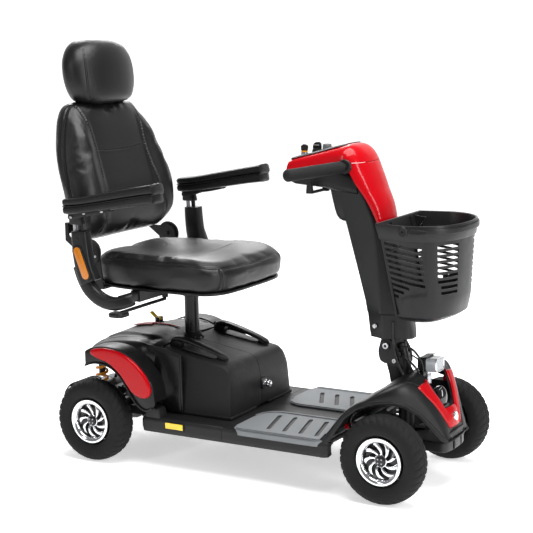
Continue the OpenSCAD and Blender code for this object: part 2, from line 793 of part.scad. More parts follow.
module backrest_cushion() {
    color("#242528") from_rear_axle() loft([for (r = back_rows)
        at_z(r[0], moved(oval((r[2] - r[3]) / 2, r[1], 4, smooth), (r[2] + r[3]) / 2, 0))]);
}

// Direction in which the headrest's posts and their sockets lean
module leaning(x, y, z) { translate([x, y, z]) rotate([0, -lean_back, 0]) children(); }

module backrest_frame() {
    ear_y = 192.4;
    color("#1e1f21") from_rear_axle() difference() {
        union() {
            both_sides() {
                plate_y(ear_y, ear_y + 5)
                    polygon(concat(arc(recline_x, recline_z, 27, -170, 10, 14),
                        [[-10, 604], [-84, 606], [-101, 625], [-101, 660], [-112, 660], [-112, 610], [-62, 574]]));
                block([-112, 120, 630], [-101, ear_y + 5, 660]);
                leaning(-134, 45, 880) cylinder(r = 10, h = 84);
            }
            // back panel behind the padding
            loft([for (r = back_rows) if (r[0] > 620 && r[0] < 980) at_z(r[0],
                moved(oval(6, r[1] - 34, 4, 20), r[3] - 9, 0))]);
            both_sides() rod_y(6, recline_x, recline_z, 180, ear_y + 10);
            both_sides() rod_y(11, recline_x, recline_z, ear_y + 4, ear_y + 10);
        }
        both_sides() leaning(-134, 45, 880) translate([0, 0, -4]) cylinder(r = 6 + fit, h = 100);
    }
}

module headrest_posts() {
    color("#b9bcc0") from_rear_axle() both_sides() leaning(-134, 45, 880) cylinder(r = 6, h = 190);
}

module headrest_cushion() {
    rows = [
        [988, 96, 44], [998, 122, 56], [1020, 138, 63], [1060, 147, 66], [1100, 144, 66], [1135, 128, 62],
        [1154, 104, 50], [1163, 70, 32]
    ];
    color("#242528") from_rear_axle() loft([for (r = rows)
        at_z(r[0], moved(oval(r[2], r[1], 3, smooth), -112 - (r[0] - 988) * 0.12, 0))]);
}

// Outline of the curved arm bracket, seen from the side
bracket_outer = [[-24, 638], [-22, 600], [-12, 550], [4, 505], [26, 472], [56, 450], [88, 441], [120, 444], [140, 456]];
bracket_inner = [[144, 470], [132, 482], [104, 482], [76, 494], [56, 520], [42, 560], [34, 600], [30, 638]];

module arm_bracket(left) {
    bar = 12.3;
    color("#2a2b2e") from_rear_axle() on_side(left) difference() {
        union() {
            plate_y(arm_y - 18, arm_y + 17) polygon(concat(bracket_outer, bracket_inner));
            block([tube_x - bar, 60, tube_z - bar], [tube_x + bar, arm_y - 16, tube_z + bar]);
            for (x = [-9, 9]) rod_z(5, x, arm_y, 600, 672);
            block([-16, arm_y - 7, 664], [16, arm_y + 7, 676]);
            plate_y(arm_y - 5, arm_y + 5) polygon(concat([[12, 670]], arc(-14, arm_z, 10, 0, 180, 10), [[-24, 670]]));
        }
        rod_y(6 + fit, -14, arm_z, arm_y - 30, arm_y + 30);
    }
}
module arm_bracket_left() { arm_bracket(true); }
module arm_bracket_right() { arm_bracket(false); }

// Moulded rail of an armrest, with the two cheeks that hold its hinge pin
module arm_rail(left) {
    color("#28292c") from_rear_axle() on_side(left) {
        plate_y(arm_y - 28, arm_y + 28) polygon([
            [-38, 722], [-20, 714], [40, 712], [120, 722], [287, 746], [284, 774], [-38, 725]
        ]);
        for (y = [arm_y - 13, arm_y + 7]) plate_y(y, y + 6)
            polygon(concat(arc(-14, arm_z, 11, 160, 300, 8), [[30, 706], [44, 716], [-22, 718]]));
        rod_y(6, -14, arm_z, arm_y - 15, arm_y + 15);
    }
}
module arm_rail_left() { arm_rail(true); }
module arm_rail_right() { arm_rail(false); }

// Padding on top of an armrest
module arm_pad(left) {
    slope = atan(48 / 320);
    color("#1f2022") from_rear_axle() on_side(left) translate([-38, arm_y, 725.4]) rotate([0, -slope, 0])
        loft([for (r = [[0, 26, 16], [6, 28, 18], [150, 29, 20], [290, 30, 24], [316, 28, 24], [325, 22, 20]])
            at_x(r[0], moved(oval(r[1], r[2] / 2, 4, 20), 0, r[2] / 2 + 0.3))]);
}
module arm_pad_left() { arm_pad(true); }
module arm_pad_right() { arm_pad(false); }

// Hand lever that frees the swivel, on a pin under the seat frame
module swivel_lever() {
    color("#2b2c2f") from_rear_axle() {
        rod_z(9, tube_x, -48, 440, 452.4);
        block([tube_x - 5, -262, 430], [tube_x + 5, -44, 440]);
        block([92, -298, 424], [144, -256, 438]);
    }
}

chassis_frame();
deck_pan();
floor_mats();
rear_shroud();
rear_fenders();
rear_fender_trims();
front_fender();
front_trim();
front_bumper();
controller_box();
battery_case_left();
battery_case_right();
battery_cells_left();
battery_cells_right();
swing_arm();
transaxle();
suspension_springs();
freewheel_lever();
anti_tip_wheels();
rear_tyre_left();
rear_rim_left();
rear_tyre_right();
rear_rim_right();
front_tyre_left();
front_rim_left();
front_tyre_right();
front_rim_right();
steering_stem();
knuckle_left();
knuckle_right();
tie_rod();
headlight();
tiller_frame();
tiller_cover();
tiller_cowl();
console_panel();
handlebar();
handlebar_grips();
throttle_lever();
ignition_key();
speed_dial();
light_knob();
horn_button();
basket();
basket_handle();
tiller_cable();
seat_post();
seat_frame();
seat_cushion();
backrest_frame();
backrest_cushion();
headrest_cushion();
headrest_posts();
arm_bracket_left();
arm_bracket_right();
arm_rail_left();
arm_rail_right();
arm_pad_left();
arm_pad_right();
swivel_lever();
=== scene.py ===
"""Looks of a four-wheel mobility scooter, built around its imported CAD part.

Positions are in metres from the rear axle: +X forwards, +Y to the rider's left, +Z up from the ground.
mesh_object() moves them to the shared frame, whose origin is below the middle of the scooter.
"""

import math
import random

import bmesh
import bpy
import numpy as np
from mathutils import Matrix, Vector
from mathutils.bvhtree import BVHTree
from mathutils.kdtree import KDTree


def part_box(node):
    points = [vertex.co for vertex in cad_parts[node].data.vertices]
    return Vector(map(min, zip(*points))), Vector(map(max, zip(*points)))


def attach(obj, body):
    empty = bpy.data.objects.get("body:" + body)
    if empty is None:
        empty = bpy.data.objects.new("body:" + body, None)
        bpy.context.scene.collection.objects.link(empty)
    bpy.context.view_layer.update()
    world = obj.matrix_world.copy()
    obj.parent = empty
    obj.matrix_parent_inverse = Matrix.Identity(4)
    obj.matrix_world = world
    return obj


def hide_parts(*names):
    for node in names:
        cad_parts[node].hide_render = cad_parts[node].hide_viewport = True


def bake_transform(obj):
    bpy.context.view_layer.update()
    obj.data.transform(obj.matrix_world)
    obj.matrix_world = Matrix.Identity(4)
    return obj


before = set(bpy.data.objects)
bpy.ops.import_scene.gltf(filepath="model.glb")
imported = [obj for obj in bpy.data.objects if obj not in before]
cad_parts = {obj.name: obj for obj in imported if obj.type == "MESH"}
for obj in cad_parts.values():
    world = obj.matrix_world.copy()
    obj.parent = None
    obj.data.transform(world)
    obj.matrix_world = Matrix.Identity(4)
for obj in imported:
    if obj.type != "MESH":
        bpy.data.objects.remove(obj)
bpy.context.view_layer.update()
random.seed(7)

wheel_low, wheel_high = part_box("rear_tyre_left")
AXLE = (wheel_low.x + wheel_high.x) / 2
TYRE_R = 0.115
WHEELBASE = 0.877
REAR_Y = 0.238
FRONT_Y = 0.214
DECK_Z = 0.142
POST_X = 0.176
ARM_Y = 0.281
ON_AXIS = 0.0001  # radius of the ends of a revolved profile


# ------------------------------------------------------------------ mesh helpers

def mesh_object(name, verts, faces, angle=35):
    """A smooth-shaded object, with edges sharper than angle (in degrees) kept crisp."""
    data = bpy.data.meshes.new(name)
    data.from_pydata([(x + AXLE, y, z) for x, y, z in verts], [], faces)
    bm = bmesh.new()
    bm.from_mesh(data)
    bmesh.ops.remove_doubles(bm, verts=bm.verts, dist=1e-6)
    bmesh.ops.recalc_face_normals(bm, faces=bm.faces)
    bm.to_mesh(data)
    bm.free()
    shade(data, angle)
    obj = bpy.data.objects.new(name, data)
    bpy.context.scene.collection.objects.link(obj)
    return obj


def shade(data, angle=35):
    """Smooth shading that keeps edges sharper than the angle."""
    data.shade_smooth()
    data.set_sharp_from_angle(angle=math.radians(angle))


def superellipse(a, b, power=2.6, n=32):
    """Closed outline with half-sizes a and b, squarer for a higher power."""
    points = []
    for i in range(n):
        t = 2 * math.pi * (i + 0.5) / n
        c, s = math.cos(t), math.sin(t)
        points.append((math.copysign(a * abs(c) ** (2 / power), c),
                       math.copysign(b * abs(s) ** (2 / power), s)))
    return points


def smooth_rows(rows, steps=6, closed=False):
    """Catmull-Rom curve through rows of numbers, with steps spans between each pair."""
    rows = [np.array(r, float) for r in rows]
    n = len(rows)
    spans = n if closed else n - 1
    out = []
    for i in range(spans):
        p0 = rows[(i - 1) % n] if closed or i > 0 else 2 * rows[0] - rows[1]
        p1, p2 = rows[i], rows[(i + 1) % n]
        p3 = rows[(i + 2) % n] if closed or i + 2 < n else 2 * rows[-1] - rows[-2]
        for k in range(steps):
            t = k / steps
            out.append(0.5 * ((2 * p1) + (p2 - p0) * t + (2 * p0 - 5 * p1 + 4 * p2 - p3) * t * t
                              + (3 * p1 - p0 - 3 * p2 + p3) * t ** 3))
    if not closed:
        out.append(rows[-1])
    return [tuple(r) for r in out]


def rounded(outline, radius, steps=5):
    """The same closed 2-D outline with every corner rounded; radius is one number or one per corner."""
    n = len(outline)
    radii = radius if hasattr(radius, "__len__") else [radius] * n
    out = []
    for i in range(n):
        p, a, b = (Vector(outline[k % n]) for k in (i, i - 1, i + 1))
        da, db = (a - p), (b - p)
        reach = min(radii[i], da.length * 0.48, db.length * 0.48)
        start, end = p + da.normalized() * reach, p + db.normalized() * reach
        for k in range(steps + 1):
            t = k / steps
            q = start * (1 - t) ** 2 + p * 2 * t * (1 - t) + end * t * t
            out.append((q.x, q.y))
    return out


def loft(name, rings, caps=True, closed=True, angle=35):
    """Skin through rings of equal length; closed joins each ring's last point to its first."""
    n = len(rings[0])
    verts = [p for ring in rings for p in ring]
    faces = []
    for j in range(len(rings) - 1):
        for i in range(n if closed else n - 1):
            k = (i + 1) % n
            faces.append((j * n + i, j * n + k, (j + 1) * n + k, (j + 1) * n + i))
    if caps:
        faces.append(tuple(range(n - 1, -1, -1)))
        faces.append(tuple((len(rings) - 1) * n + i for i in range(n)))
    return mesh_object(name, verts, faces, angle)


def slab(name, outline, y0, y1, angle=35):
    """A side view (x, z) given thickness from y0 to y1."""
    return loft(name, [[(x, y, z) for x, z in outline] for y in (y0, y1)], angle=angle)


def sheet_z(name, outline, z0, z1, angle=35):
    """A plan view (x, y) given thickness from z0 to z1."""
    return loft(name, [[(x, y, z) for x, y in outline] for z in (z0, z1)], angle=angle)


def block(name, low, high, bevel_width=0.0):
    """Box between two corners, with an optional bevel."""
    (x0, y0, z0), (x1, y1, z1) = low, high
    obj = slab(name, [(x0, z0), (x1, z0), (x1, z1), (x0, z1)], y0, y1)
    return bevel(obj, bevel_width) if bevel_width else obj


def sweep(name, path, half_w, half_t, side=(0, 1, 0), power=2.6, n=24, angle=35):
    """Tube along a path: half_w along side, half_t across it. Sizes are numbers or one per point."""
    path = [Vector(p) for p in path]
    count = len(path)
    widths = half_w if hasattr(half_w, "__len__") else [half_w] * count
    depths = half_t if hasattr(half_t, "__len__") else [half_t] * count
    rings = []
    side = Vector(side)
    for i, p in enumerate(path):
        along = (path[min(i + 1, count - 1)] - path[max(i - 1, 0)]).normalized()
        s = (side - along * side.dot(along)).normalized()
        up = s.cross(along)
        rings.append([tuple(p + s * a + up * b) for a, b in superellipse(widths[i], depths[i], power, n)])
    return loft(name, rings, angle=angle)


def tube(name, path, radius, n=12, steps=6, closed=False):
    """Round tube along a smooth curve through the path's points."""
    points = [Vector(p) for p in (smooth_rows(path, steps, closed) if steps > 1 else path)]
    count = len(points)
    rings = []
    normal = None
    for i, p in enumerate(points):
        before = points[i - 1] if closed or i > 0 else p
        after = points[(i + 1) % count] if closed or i + 1 < count else p
        along = (after - before).normalized()
        if normal is None:
            normal = along.orthogonal().normalized()
        normal = (normal - along * normal.dot(along)).normalized()
        cross = along.cross(normal)
        rings.append([tuple(p + radius * (normal * math.cos(a) + cross * math.sin(a)))
                      for a in (2 * math.pi * k / n for k in range(n))])
    if closed:
        rings.append(rings[0])
    return loft(name, rings, caps=not closed)


def revolve(name, profile, centre, axis="y", n=64, angle=35):
    """Profile of (radius, distance along axis) turned about an axis through centre.

    A profile that ends away from the axis closes on itself, as a ring."""
    cx, cy, cz = centre
    rings = []
    for r, h in profile:
        ring = []
        for i in range(n):
            a = 2 * math.pi * i / n
            c, s = r * math.cos(a), r * math.sin(a)
            ring.append({"x": (cx + h, cy + c, cz + s), "y": (cx + c, cy + h, cz + s),
                         "z": (cx + c, cy + s, cz + h)}[axis])
        rings.append(ring)
    hollow = profile[0][0] > 0.001 and profile[-1][0] > 0.001
    if hollow:
        rings.append(rings[0])
    return loft(name, rings, caps=not hollow, angle=angle)


def join(name, objects):
    """One object from several, each keeping its material."""
    bm = bmesh.new()
    data = bpy.data.meshes.new(name)
    for o in objects:
        index = 0
        if o.data.materials:
            found = data.materials.find(o.data.materials[0].name)
            if found < 0:
                data.materials.append(o.data.materials[0])
                found = len(data.materials) - 1
            index = found
        start = len(bm.faces)
        part = evaluated(o)
        bm.from_mesh(part)
        bpy.data.meshes.remove(part)
        bm.faces.ensure_lookup_table()
        for f in bm.faces[start:]:
            f.material_index = index
    bm.to_mesh(data)
    bm.free()
    for o in objects:
        bpy.data.objects.remove(o)
    shade(data)
    obj = bpy.data.objects.new(name, data)
    bpy.context.scene.collection.objects.link(obj)
    return obj


def evaluated(obj):
    """A new mesh with the object's modifiers applied."""
    graph = bpy.context.evaluated_depsgraph_get()
    return bpy.data.meshes.new_from_object(obj.evaluated_get(graph), depsgraph=graph)


def apply(obj):
    """Turns the modifiers of the object into its mesh."""
    data = evaluated(obj)
    old = obj.data
    obj.modifiers.clear()
    obj.data = data
    bpy.data.meshes.remove(old)
    return obj


def bevel(obj, width, segments=3, angle=35):
    """Rounds the edges that are sharper than the angle."""
    mod = obj.modifiers.new("edges", "BEVEL")
    mod.width = width
    mod.segments = segments
    mod.limit_method = "ANGLE"
    mod.angle_limit = math.radians(angle)
    mod.harden_normals = False
    apply(obj)
    shade(obj.data, 50)
    return obj


def solidify(obj, thickness, offset=-1):
    """Gives a sheet its thickness."""
    mod = obj.modifiers.new("wall", "SOLIDIFY")
    mod.thickness = thickness
    mod.offset = offset
    return apply(obj)


def cut(obj, cutters):
    """Takes the cutters, joined or apart, out of the object."""
    for c in cutters:
        mod = obj.modifiers.new("cut", "BOOLEAN")
        mod.object = c
        mod.solver = "EXACT"
    apply(obj)
    for c in cutters:
        bpy.data.objects.remove(c)
    shade(obj.data)
    return obj


def turn(obj, degrees, axis, centre):
    """Turns the mesh about an axis through centre (from the rear axle)."""
    c = Vector((centre[0] + AXLE, centre[1], centre[2]))
    spin = Matrix.Rotation(math.radians(degrees), 4, axis)
    obj.data.transform(Matrix.Translation(c) @ spin @ Matrix.Translation(-c))
    return obj


def coat(obj, material):
    """Gives the object one more material and returns the object."""
    obj.data.materials.append(material)
    return obj


def place(obj, body, material, nodes=()):
    """Gives the piece its material and its moving body, and hides the CAD nodes that it stands for."""
    if material is not None:
        obj.data.materials.clear()
        coat(obj, material)
    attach(obj, body)
    if nodes:
        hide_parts(*nodes)
    return obj


def surface_points(obj, points, direction, lift=0.0):
    """Where rays from the points meet the object, raised by lift along the surface normal."""
    tree = BVHTree.FromObject(obj, bpy.context.evaluated_depsgraph_get())
    out = []
    for p in points:
        hit, normal, _, _ = tree.ray_cast(Vector((p[0] + AXLE, p[1], p[2])), Vector(direction))
        if hit is not None:
            q = hit + normal * lift
            out.append((q.x - AXLE, q.y, q.z))
    return out


def groove(obj, path, width, depth, puff=0.0):
    """Presses a seam into a padded surface along the path, with a soft swell beside it."""
    fine = [Vector((p[0] + AXLE, p[1], p[2])) for p in smooth_rows(path, 8)]
    tree = KDTree(len(fine))
    for i, p in enumerate(fine):
        tree.insert(p, i)
    tree.balance()
    moves = []
    for v in obj.data.vertices:
        _, _, d = tree.find(v.co)
        if d < 5 * width:
            dip = -depth * math.exp(-(d / width) ** 2)
            swell = puff * math.exp(-((d - 2.6 * width) / (1.4 * width)) ** 2)
            moves.append((v.index, v.normal * (dip + swell)))
    for i, m in moves:
        obj.data.vertices[i].co += m
    obj.data.update()


def stitches(name, path, pitch=0.005, length=0.0032, radius=0.0006):
    """A row of thread stitches that lie along the path."""
    pts = [Vector(p) for p in smooth_rows(path, 10)]
    travelled, next_at = 0.0, pitch / 2
    verts, faces = [], []
    for a, b in zip(pts, pts[1:]):
        step = (b - a).length
        while step > 0 and travelled + step >= next_at:
            mid = a.lerp(b, (next_at - travelled) / step)
            d = (b - a).normalized() * length / 2
            u = d.orthogonal().normalized() * radius
            w = d.normalized().cross(u)
            base = len(verts)
            verts += [tuple(q) for q in (mid - d, mid + u, mid + w, mid - u, mid - w, mid + d)]
            for i in range(4):
                faces.append((base, base + 1 + i, base + 1 + (i + 1) % 4))
                faces.append((base + 5, base + 1 + (i + 1) % 4, base + 1 + i))
            next_at += pitch
        travelled += step
    return mesh_object(name, verts, faces, 80)


# ------------------------------------------------------------------ materials

def shader(name):
    """A new material with its node tree and main shader."""
    mat = bpy.data.materials.new(name)
    mat.use_nodes = True
    tree = mat.node_tree
    return mat, tree, tree.nodes["Principled BSDF"]


def add(tree, kind, **inputs):
    """A node of the given kind with its input values set."""
    node = tree.nodes.new(kind)
    for key, value in inputs.items():
        node.inputs[key.replace("_", " ")].default_value = value
    return node


def surface(name, color, rough, metal=0.0, coat=0.0, grain=400.0, bump=0.15, tone=0.12, spread=0.08,
            specular=0.27, cells=False, stretch=(1, 1, 1), coat_rough=0.05):
    """Base colour with a slow tone drift, a roughness drift and a fine surface grain."""
    mat, tree, bsdf = shader(name)
    link = tree.links.new
    place_node = tree.nodes.new("ShaderNodeTexCoord")
    scale = tree.nodes.new("ShaderNodeMapping")
    scale.inputs["Scale"].default_value = stretch
    link(place_node.outputs["Object"], scale.inputs["Vector"])
    drift = add(tree, "ShaderNodeTexNoise", Scale=9.0, Detail=4.0)
    link(place_node.outputs["Object"], drift.inputs["Vector"])
    mix = tree.nodes.new("ShaderNodeMix")
    mix.data_type = "RGBA"
    mix.inputs["A"].default_value = (*[c * (1 - tone) for c in color], 1)
    mix.inputs["B"].default_value = (*[min(1, c * (1 + tone)) for c in color], 1)
    link(drift.outputs["Fac"], mix.inputs["Factor"])
    link(mix.outputs["Result"], bsdf.inputs["Base Color"])
    wear = add(tree, "ShaderNodeTexNoise", Scale=35.0, Detail=6.0)
    link(scale.outputs["Vector"], wear.inputs["Vector"])
    span = tree.nodes.new("ShaderNodeMapRange")
    span.inputs["To Min"].default_value = max(0.02, rough - spread)
    span.inputs["To Max"].default_value = min(1.0, rough + spread)
    link(wear.outputs["Fac"], span.inputs["Value"])
    link(span.outputs["Result"], bsdf.inputs["Roughness"])
    if cells:
        fine = add(tree, "ShaderNodeTexVoronoi", Scale=grain)
        height = fine.outputs["Distance"]
    else:
        fine = add(tree, "ShaderNodeTexNoise", Scale=grain, Detail=3.0)
        height = fine.outputs["Fac"]
    link(scale.outputs["Vector"], fine.inputs["Vector"])
    relief = tree.nodes.new("ShaderNodeBump")
    relief.inputs["Strength"].default_value = bump
    relief.inputs["Distance"].default_value = 0.0006
    link(height, relief.inputs["Height"])
    link(relief.outputs["Normal"], bsdf.inputs["Normal"])
    bsdf.inputs["Metallic"].default_value = metal
    bsdf.inputs["Specular IOR Level"].default_value = specular
    bsdf.inputs["Coat Weight"].default_value = coat
    bsdf.inputs["Coat Roughness"].default_value = coat_rough
    return mat


LEATHER = surface("leatherette", (0.0056, 0.0055, 0.0060), 0.35, grain=900, bump=0.28, cells=True,
                  spread=0.05, specular=0.36)
PIPING = surface("piping", (0.0075, 0.0075, 0.008), 0.38, grain=1200, bump=0.2, cells=True)
THREAD = surface("thread", (0.010, 0.010, 0.011), 0.6, grain=2500, bump=0.5)
TYRE = surface("tyre_rubber", (0.009, 0.009, 0.0095), 0.72, grain=600, bump=0.4, tone=0.25, specular=0.2)
RIM_DARK = surface("rim_dark", (0.006, 0.006, 0.0065), 0.32, grain=500, bump=0.08, coat=0.3)
CHROME = surface("chrome", (0.78, 0.79, 0.81), 0.12, metal=1.0, grain=300, bump=0.03, spread=0.05)
STEEL = surface("zinc_steel", (0.46, 0.46, 0.48), 0.34, metal=1.0, grain=260, bump=0.12, stretch=(1, 6, 1))
RED = surface("red_gloss", (0.42, 0.0004, 0.0045), 0.30, coat=0.32, grain=120, bump=0.002, tone=0.02,
              spread=0.02, specular=0.08, coat_rough=0.03)
DECK = surface("deck_plastic", (0.0105, 0.0105, 0.011), 0.46, grain=900, bump=0.5)
SHROUD = surface("shroud_plastic", (0.006, 0.006, 0.0065), 0.33, grain=850, bump=0.22)
FENDER = surface("fender_plastic", (0.006, 0.006, 0.0065), 0.36, grain=800, bump=0.3)
BATTERY = surface("battery_plastic", (0.0085, 0.0087, 0.0093), 0.47, grain=1100, bump=0.75, cells=True)
MAT = surface("mat_rubber", (0.190, 0.200, 0.208), 0.66, grain=1000, bump=0.4, tone=0.05, specular=0.3)
FRAME = surface("frame_paint", (0.0085, 0.0085, 0.009), 0.4, grain=420, bump=0.2)
COLUMN = surface("column_plastic", (0.012, 0.0123, 0.0134), 0.4, grain=900, bump=0.3)
CONSOLE = surface("console_plastic", (0.006, 0.006, 0.0065), 0.5, grain=1000, bump=0.4)
GRIP = surface("grip_foam", (0.0065, 0.0065, 0.007), 0.78, grain=1600, bump=0.9, specular=0.3)
BASKET = surface("basket_plastic", (0.0105, 0.0105, 0.0115), 0.36, grain=700, bump=0.2)
ARM = surface("arm_plastic", (0.0080, 0.0081, 0.0088), 0.32, grain=1000, bump=0.35)
PAD = surface("arm_pad_skin", (0.0050, 0.0050, 0.0054), 0.30, grain=1100, bump=0.5, cells=True)
POST = surface("post_paint", (0.006, 0.006, 0.0065), 0.26, grain=300, bump=0.06, stretch=(1, 1, 0.1))
BUMPER = surface("bumper_plastic", (0.012, 0.0124, 0.0132), 0.38, grain=900, bump=0.25)
CAST = surface("cast_housing", (0.1, 0.102, 0.106), 0.5, metal=0.7, grain=240, bump=0.5)
MOTOR = surface("motor_paint", (0.007, 0.007, 0.0075), 0.34, grain=300, bump=0.15)
ORANGE = surface("spring_paint", (0.85, 0.30, 0.015), 0.3, coat=0.5, grain=260, bump=0.08)
YELLOW = surface("lever_plastic", (0.98, 0.66, 0.02), 0.35, grain=500, bump=0.12)
AMBER = surface("amber_lens", (0.56, 0.17, 0.002), 0.18, coat=0.8, grain=520, bump=0.55, cells=True)
YELLOW_LENS = surface("yellow_lens", (0.9, 0.62, 0.02), 0.2, coat=0.8, grain=520, bump=0.55, cells=True)
KNOB = surface("knob_plastic", (0.13, 0.135, 0.14), 0.42, grain=800, bump=0.25)
LENS = surface("lamp_lens", (0.34, 0.36, 0.38), 0.12, coat=0.9, grain=90, bump=0.2, tone=0.05)
CABLE = surface("cable_jacket", (0.012, 0.012, 0.013), 0.24, grain=500, bump=0.06)
DOME = surface("glossy_dome", (0.008, 0.008, 0.009), 0.08, coat=1.0, grain=60, bump=0.01, tone=0.05,
               spread=0.02)
CELL = surface("cell_case", (0.1, 0.105, 0.11), 0.5, grain=800, bump=0.3)


# ------------------------------------------------------------------ wheels

def ramp(value, low, high):
    """Smooth step from 0 at low to 1 at high."""
    t = min(1.0, max(0.0, (value - low) / (high - low)))
    return t * t * (3 - 2 * t)


def tread_depth(theta, s):
    """Groove depth at an angle round the tyre and a place s from -1 to 1 across it."""
    lugs = 34
    side = abs(s)
    ring_groove = 1 - ramp(abs(side - 0.2), 0.035, 0.07)
    phase = (theta / (2 * math.pi) * lugs + 0.9 * side + (0.5 if s > 0 else 0)) % 1.0
    outward = ramp(side, 0.24, 0.34)
    lug_groove = (1 - ramp(abs(phase - 0.5), 0.1, 0.17)) * outward * (1 - ramp(side, 0.95, 1.0))
    phase_mid = (theta / (2 * math.pi) * lugs * 2 + 2.2 * s) % 1.0
    sipe = (1 - ramp(abs(phase_mid - 0.5), 0.06, 0.11)) * (1 - ramp(side, 0.12, 0.17))
    return 0.0026 * max(ring_groove, lug_groove, 0.6 * sipe)


def tyre_mesh(name, x, y):
    """Pneumatic tyre with a ribbed middle, slanted shoulder lugs and moulded rings on its walls."""
    around, half_w, section = 272, 0.0362, 0.027
    outline = superellipse(section, half_w, 2.5, 72)
    rings = []
    for i in range(around + 1):
        theta = 2 * math.pi * (i % around) / around
        ring = []
        for r, w in outline:
            s = w / half_w
            radius = TYRE_R - section + r
            if r > 0.0:
                radius -= tread_depth(theta, s * 0.98) * ramp(r, 0.008, 0.016)
            near_edge = ramp(abs(s), 0.6, 0.9)
            wall = 0.0005 * math.sin((TYRE_R - radius) * 2200) * (1 - ramp(r, 0.0, 0.012)) * near_edge
            ring.append((x + radius * math.cos(theta), y + w + math.copysign(wall, w),
                         TYRE_R + radius * math.sin(theta)))
        rings.append(ring)
    return loft(name, rings, caps=False, angle=50)


def spoke(name, x, y, out, index, count):
    """One curved turbine blade of the wheel's face."""
    path = []
    start = 2 * math.pi * index / count
    for k in range(9):
        t = k / 8
        r = 0.0165 + 0.0335 * t
        a = start + 0.62 * t ** 1.3
        lift = 0.004 * math.sin(math.pi * t) - 0.002 * t
        path.append((x + r * math.cos(a), y + out * (0.013 + lift), TYRE_R + r * math.sin(a)))
    widths = [0.0022 + 0.0046 * (k / 8) for k in range(9)]
    return sweep(name, path, 0.0035, widths, side=(0, out, 0), power=3.2, n=14)


def wheel(label, x, y):
    """Tyre, chrome-ringed rim with turbine blades, hub cap and valve, on the side that y gives."""
    out = 1 if y > 0 else -1
    end, hand = label.split("_")
    body = f"{end}_wheel_{hand}"
    place(tyre_mesh(f"tyre_{label}", x, y), body, TYRE, [f"{end}_tyre_{hand}"])
    centre = (x, y, TYRE_R)

    def turned(name, profile, material, n=96):
        obj = coat(revolve(name, [(r, out * h) for r, h in profile], centre, n=n), material)
        return obj

    ring = turned(f"ring_{label}", [(0.0602, 0.021), (0.0625, 0.0235), (0.0628, 0.0275), (0.0612, 0.0298),
                                    (0.0570, 0.0300), (0.0525, 0.0282), (0.0492, 0.0245), (0.0478, 0.0195),
                                    (0.0490, 0.0185), (0.0535, 0.0225), (0.0580, 0.0250), (0.0595, 0.0225)],
                  CHROME)
    barrel = turned(f"barrel_{label}", [(0.0600, 0.022), (0.0600, -0.022), (0.0615, -0.026),
                                        (0.0600, -0.029), (0.0560, -0.029), (0.0560, -0.002),
                                        (0.0200, -0.004), (0.0200, -0.027), (0.0100, -0.027),
                                        (0.0100, 0.004), (0.0220, 0.006), (0.0440, 0.0105),
                                        (0.0500, 0.0175), (0.0530, 0.0200)], RIM_DARK)
    hub = turned(f"hub_{label}", [(ON_AXIS, 0.0215), (0.0090, 0.0212), (0.0122, 0.0200), (0.0132, 0.0175),
                                  (0.0140, 0.0100), (ON_AXIS, 0.0095)], RIM_DARK, 48)
    collar = turned(f"collar_{label}", [(0.0142, 0.0165), (0.0152, 0.0172), (0.0170, 0.0160),
                                        (0.0180, 0.0120), (0.0180, 0.0070), (0.0135, 0.0070)], CHROME, 48)
    count = 9
    blades = [spoke(f"blade_{label}_{i}", x, y, out, i, count) for i in range(count)]
    for b in blades:
        coat(b, CHROME)
    bolts = []
    for i in range(4):
        a = math.pi / 4 + i * math.pi / 2
        bolts.append(coat(revolve(f"nut_{label}_{i}",
                                  [(ON_AXIS, out * 0.0238), (0.0017, out * 0.0236), (0.0021, out * 0.0205)],
                                  (x + 0.0072 * math.cos(a), y, TYRE_R + 0.0072 * math.sin(a)), n=6),
                          STEEL))
    valve = coat(tube(f"valve_{label}", [
             (x + 0.043, y + out * 0.012, TYRE_R + 0.018), (x + 0.0405, y + out * 0.024, TYRE_R + 0.0165)
         ], 0.0024, 10, 1), GRIP)
    rim = join(f"rim_{label}", [ring, barrel, hub, collar, *blades, *bolts, valve])
    nodes = [f"{end}_rim_{hand}"]
    place(rim, body, None, nodes)


def wheels():
    """All four wheels on their own bodies."""
    wheel("rear_left", 0.0, REAR_Y)
    wheel("rear_right", 0.0, -REAR_Y)
    wheel("front_left", WHEELBASE, FRONT_Y)
    wheel("front_right", WHEELBASE, -FRONT_Y)


def half_shafts():
    """The short shafts that carry the rear wheels."""
    for hand, out in (("left", 1), ("right", -1)):
        shaft = revolve(f"half_shaft_{hand}", [
            (ON_AXIS, out * 0.050), (0.0085, out * 0.051), (0.0085, out * 0.205), (0.0120, out * 0.206),
            (0.0120, out * 0.216), (ON_AXIS, out * 0.216)
        ], (0, 0, TYRE_R), n=32)
        place(shaft, f"rear_wheel_{hand}", STEEL)


# ------------------------------------------------------------------ seat

